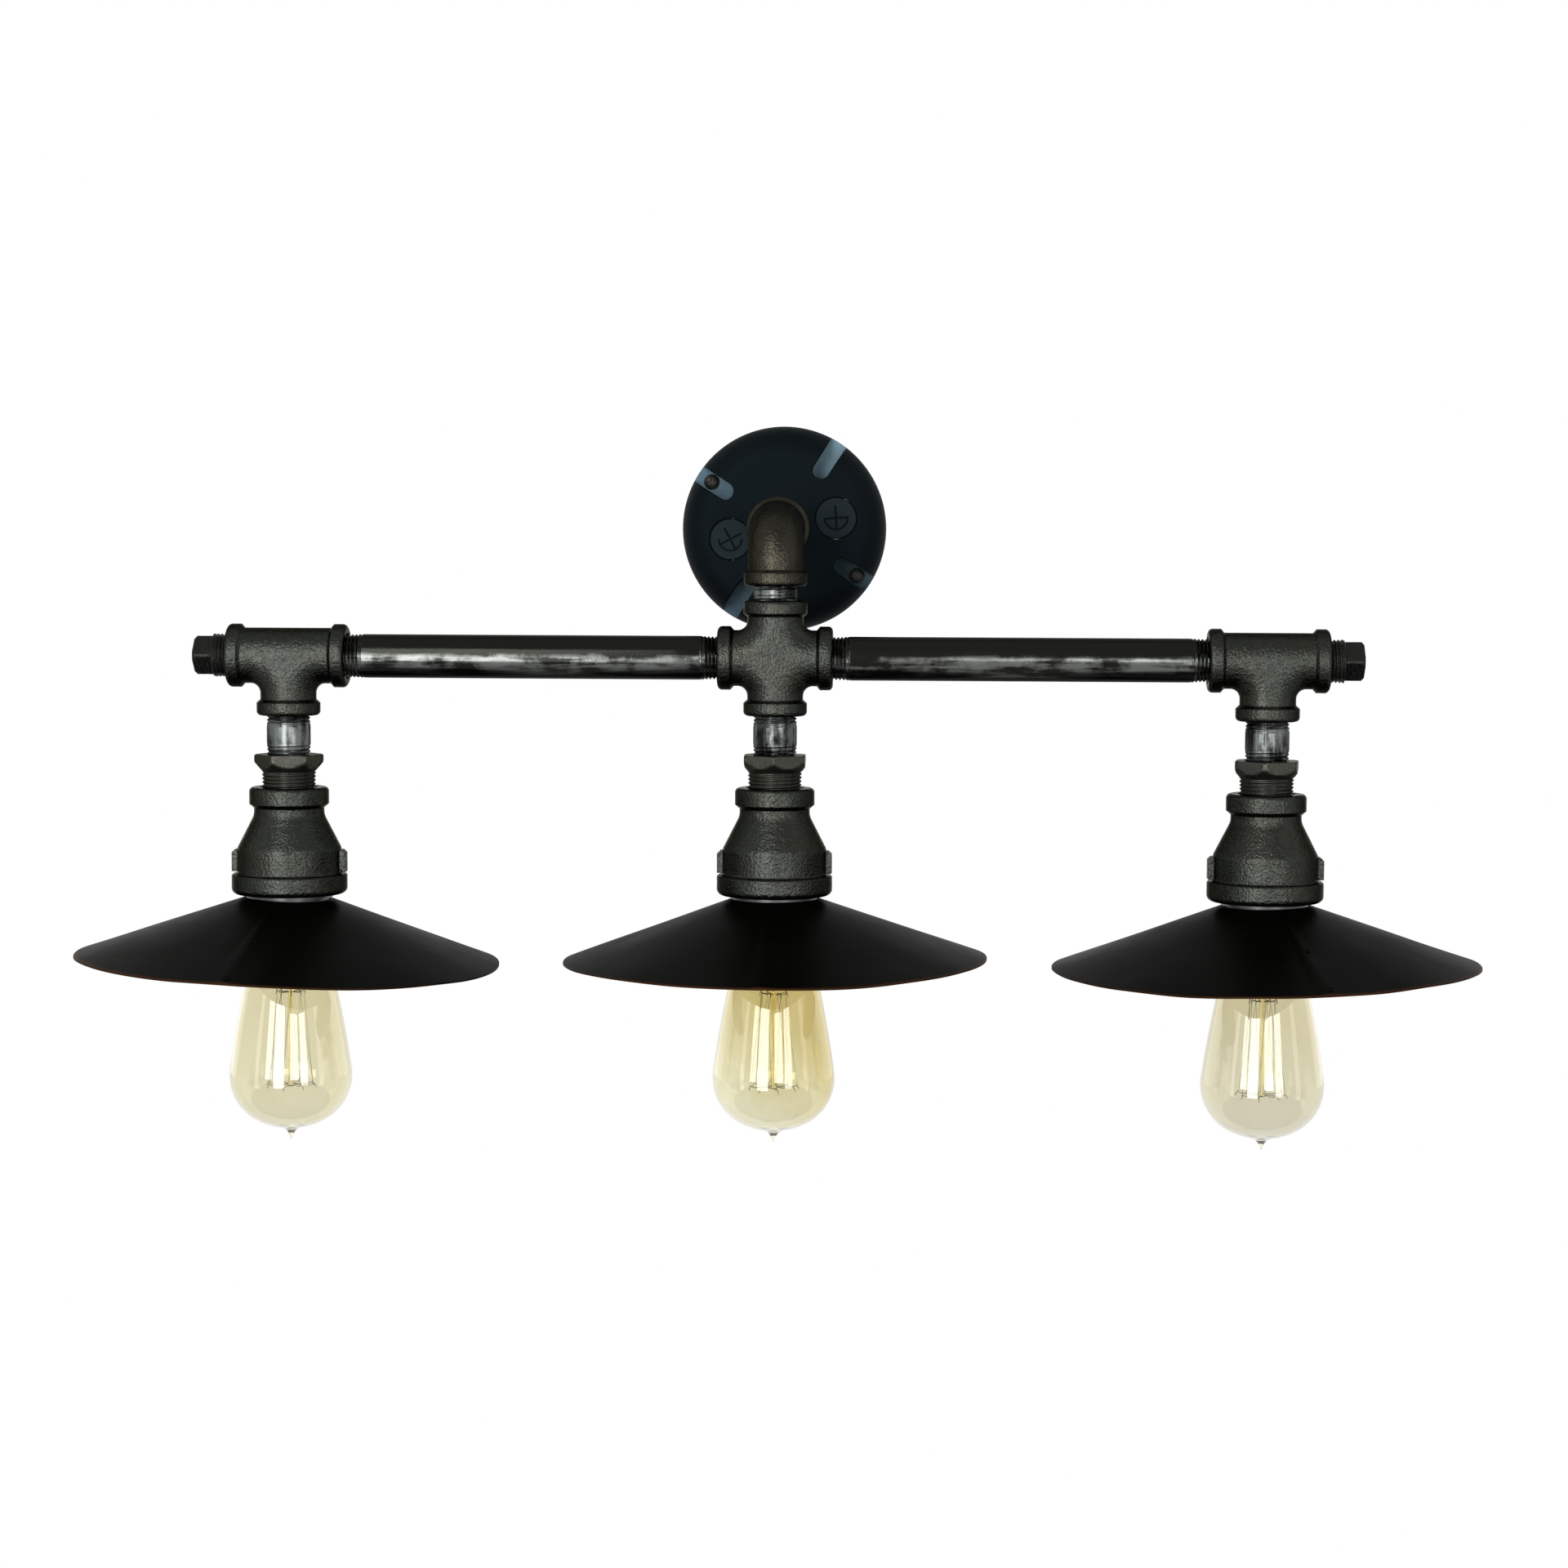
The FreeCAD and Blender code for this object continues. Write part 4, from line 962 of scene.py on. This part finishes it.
def build_stage():
    """The floor, and the world that is white to look at and dim as a light."""
    low = cad_bounds[0].z - FLOOR_DROP
    bpy.ops.mesh.primitive_plane_add(size=FLOOR_SIZE, location=(0, 0, low))
    floor = bpy.context.object
    floor.name = "floor"
    floor.data.materials.append(bright_stage_material("floor_white", FLOOR_GREY))
    world = bpy.data.worlds.new("studio")
    bpy.context.scene.world = world
    world.use_nodes = True
    tree = world.node_tree
    tree.nodes.clear()
    out = node(tree, "ShaderNodeOutputWorld")
    white = node(tree, "ShaderNodeBackground")
    white.inputs["Color"].default_value = (*WHITE, 1)
    room = node(tree, "ShaderNodeBackground")
    room.inputs["Color"].default_value = (*ROOM_COLOR, 1)
    room.inputs["Strength"].default_value = ROOM_LIGHT
    mix_shaders(tree, seen_as_white(tree), room, white, out)


LIGHT_AIM = Vector((0, -0.109, -0.20))
LIGHT_DISTANCE = 2.4
# Name, bearings of the west and east sides and rise of the sill and head in degrees, radiance, colour
WINDOWS = (
    ("window_main", -28, -8, -20, 42, 9.0, WHITE),
    ("window_far_left", -43, -31, -2, 13, 7.0, WHITE),
    ("window_right", 4, 20, -2, 13, 7.0, WHITE),
    ("window_far_right", 24, 38, -15, 13, 7.0, WHITE),
    ("window_upper_right", 21, 32, 18, 24, 7.0, WHITE),
    ("wall_left", -64, -56, -25, 30, 1.6, (0.96, 0.98, 1.0)),
    ("wall_right", 62, 72, -20, 30, 1.2, (1.0, 0.97, 0.92)),
    ("backdrop_left", -150, -112, -8, 30, 0.45, (1.0, 0.98, 0.86)),
    ("backdrop_right", 112, 150, -8, 30, 0.45, (1.0, 0.97, 0.84)),
)
CEILING_SIZE = (1.0, 1.6)
CEILING_POWER = 3.0
CEILING_PLACES = {"ceiling_left": Vector((-1.9, -0.2, 1.5)), "ceiling_right": Vector((1.9, -0.2, 1.5))}


def area_light(name, size, power, color, at, facing):
    """A rectangular lamp at a place, facing a direction."""
    data = bpy.data.lights.new(name, "AREA")
    data.shape = "RECTANGLE"
    data.size, data.size_y = size
    data.energy = power
    data.color = color
    obj = bpy.data.objects.new(name, data)
    bpy.context.collection.objects.link(obj)
    obj.location = at
    obj.rotation_euler = facing.to_track_quat("-Z", "Y").to_euler()


def window_light(name, west, east, low, high, radiance, color):
    """An upright window of the room, given by its bearings and rises from the lamps in degrees."""
    bearing = radians((west + east) / 2)
    out = Vector((sin(bearing), -cos(bearing), 0))
    width = 2 * LIGHT_DISTANCE * tan(radians(east - west) / 2)
    sill, head = LIGHT_DISTANCE * tan(radians(low)), LIGHT_DISTANCE * tan(radians(high))
    power = radiance * pi * width * (head - sill)
    at = LIGHT_AIM + out * LIGHT_DISTANCE + Z_AXIS * (sill + head) / 2
    area_light(name, (width, head - sill), power, color, at, -out)


def build_lights():
    """The room's windows, walls and backdrop as lamps, and two dim ceiling lamps."""
    for window in WINDOWS:
        window_light(*window)
    for name, at in CEILING_PLACES.items():
        area_light(name, CEILING_SIZE, CEILING_POWER, WHITE, at, LIGHT_AIM - at)


def build_camera():
    """The camera stands a little to the right of the cross and above it."""
    cross = middle("cross")
    aim = cross + AIM_FROM_CROSS
    out = Vector((sin(CAMERA_YAW) * cos(CAMERA_RISE), -cos(CAMERA_YAW) * cos(CAMERA_RISE), sin(CAMERA_RISE)))
    at = cross + out * CAMERA_DISTANCE
    data = bpy.data.cameras.new("camera")
    data.lens = CAMERA_LENS
    data.sensor_width = SENSOR_WIDTH
    data.clip_start, data.clip_end = CLIP
    obj = bpy.data.objects.new("camera", data)
    bpy.context.collection.objects.link(obj)
    look = (aim - at).to_track_quat("-Z", "Y").to_matrix().to_4x4()
    obj.matrix_world = Matrix.Translation(at) @ look @ Matrix.Rotation(CAMERA_ROLL, 4, "Z")
    bpy.context.scene.camera = obj


bpy.context.scene.view_settings.view_transform = "Standard"
dress_cad()
build_pipework()
build_bushings()
build_end_plugs()
build_shades()
build_bulbs()
build_stage()
build_lights()
build_camera()
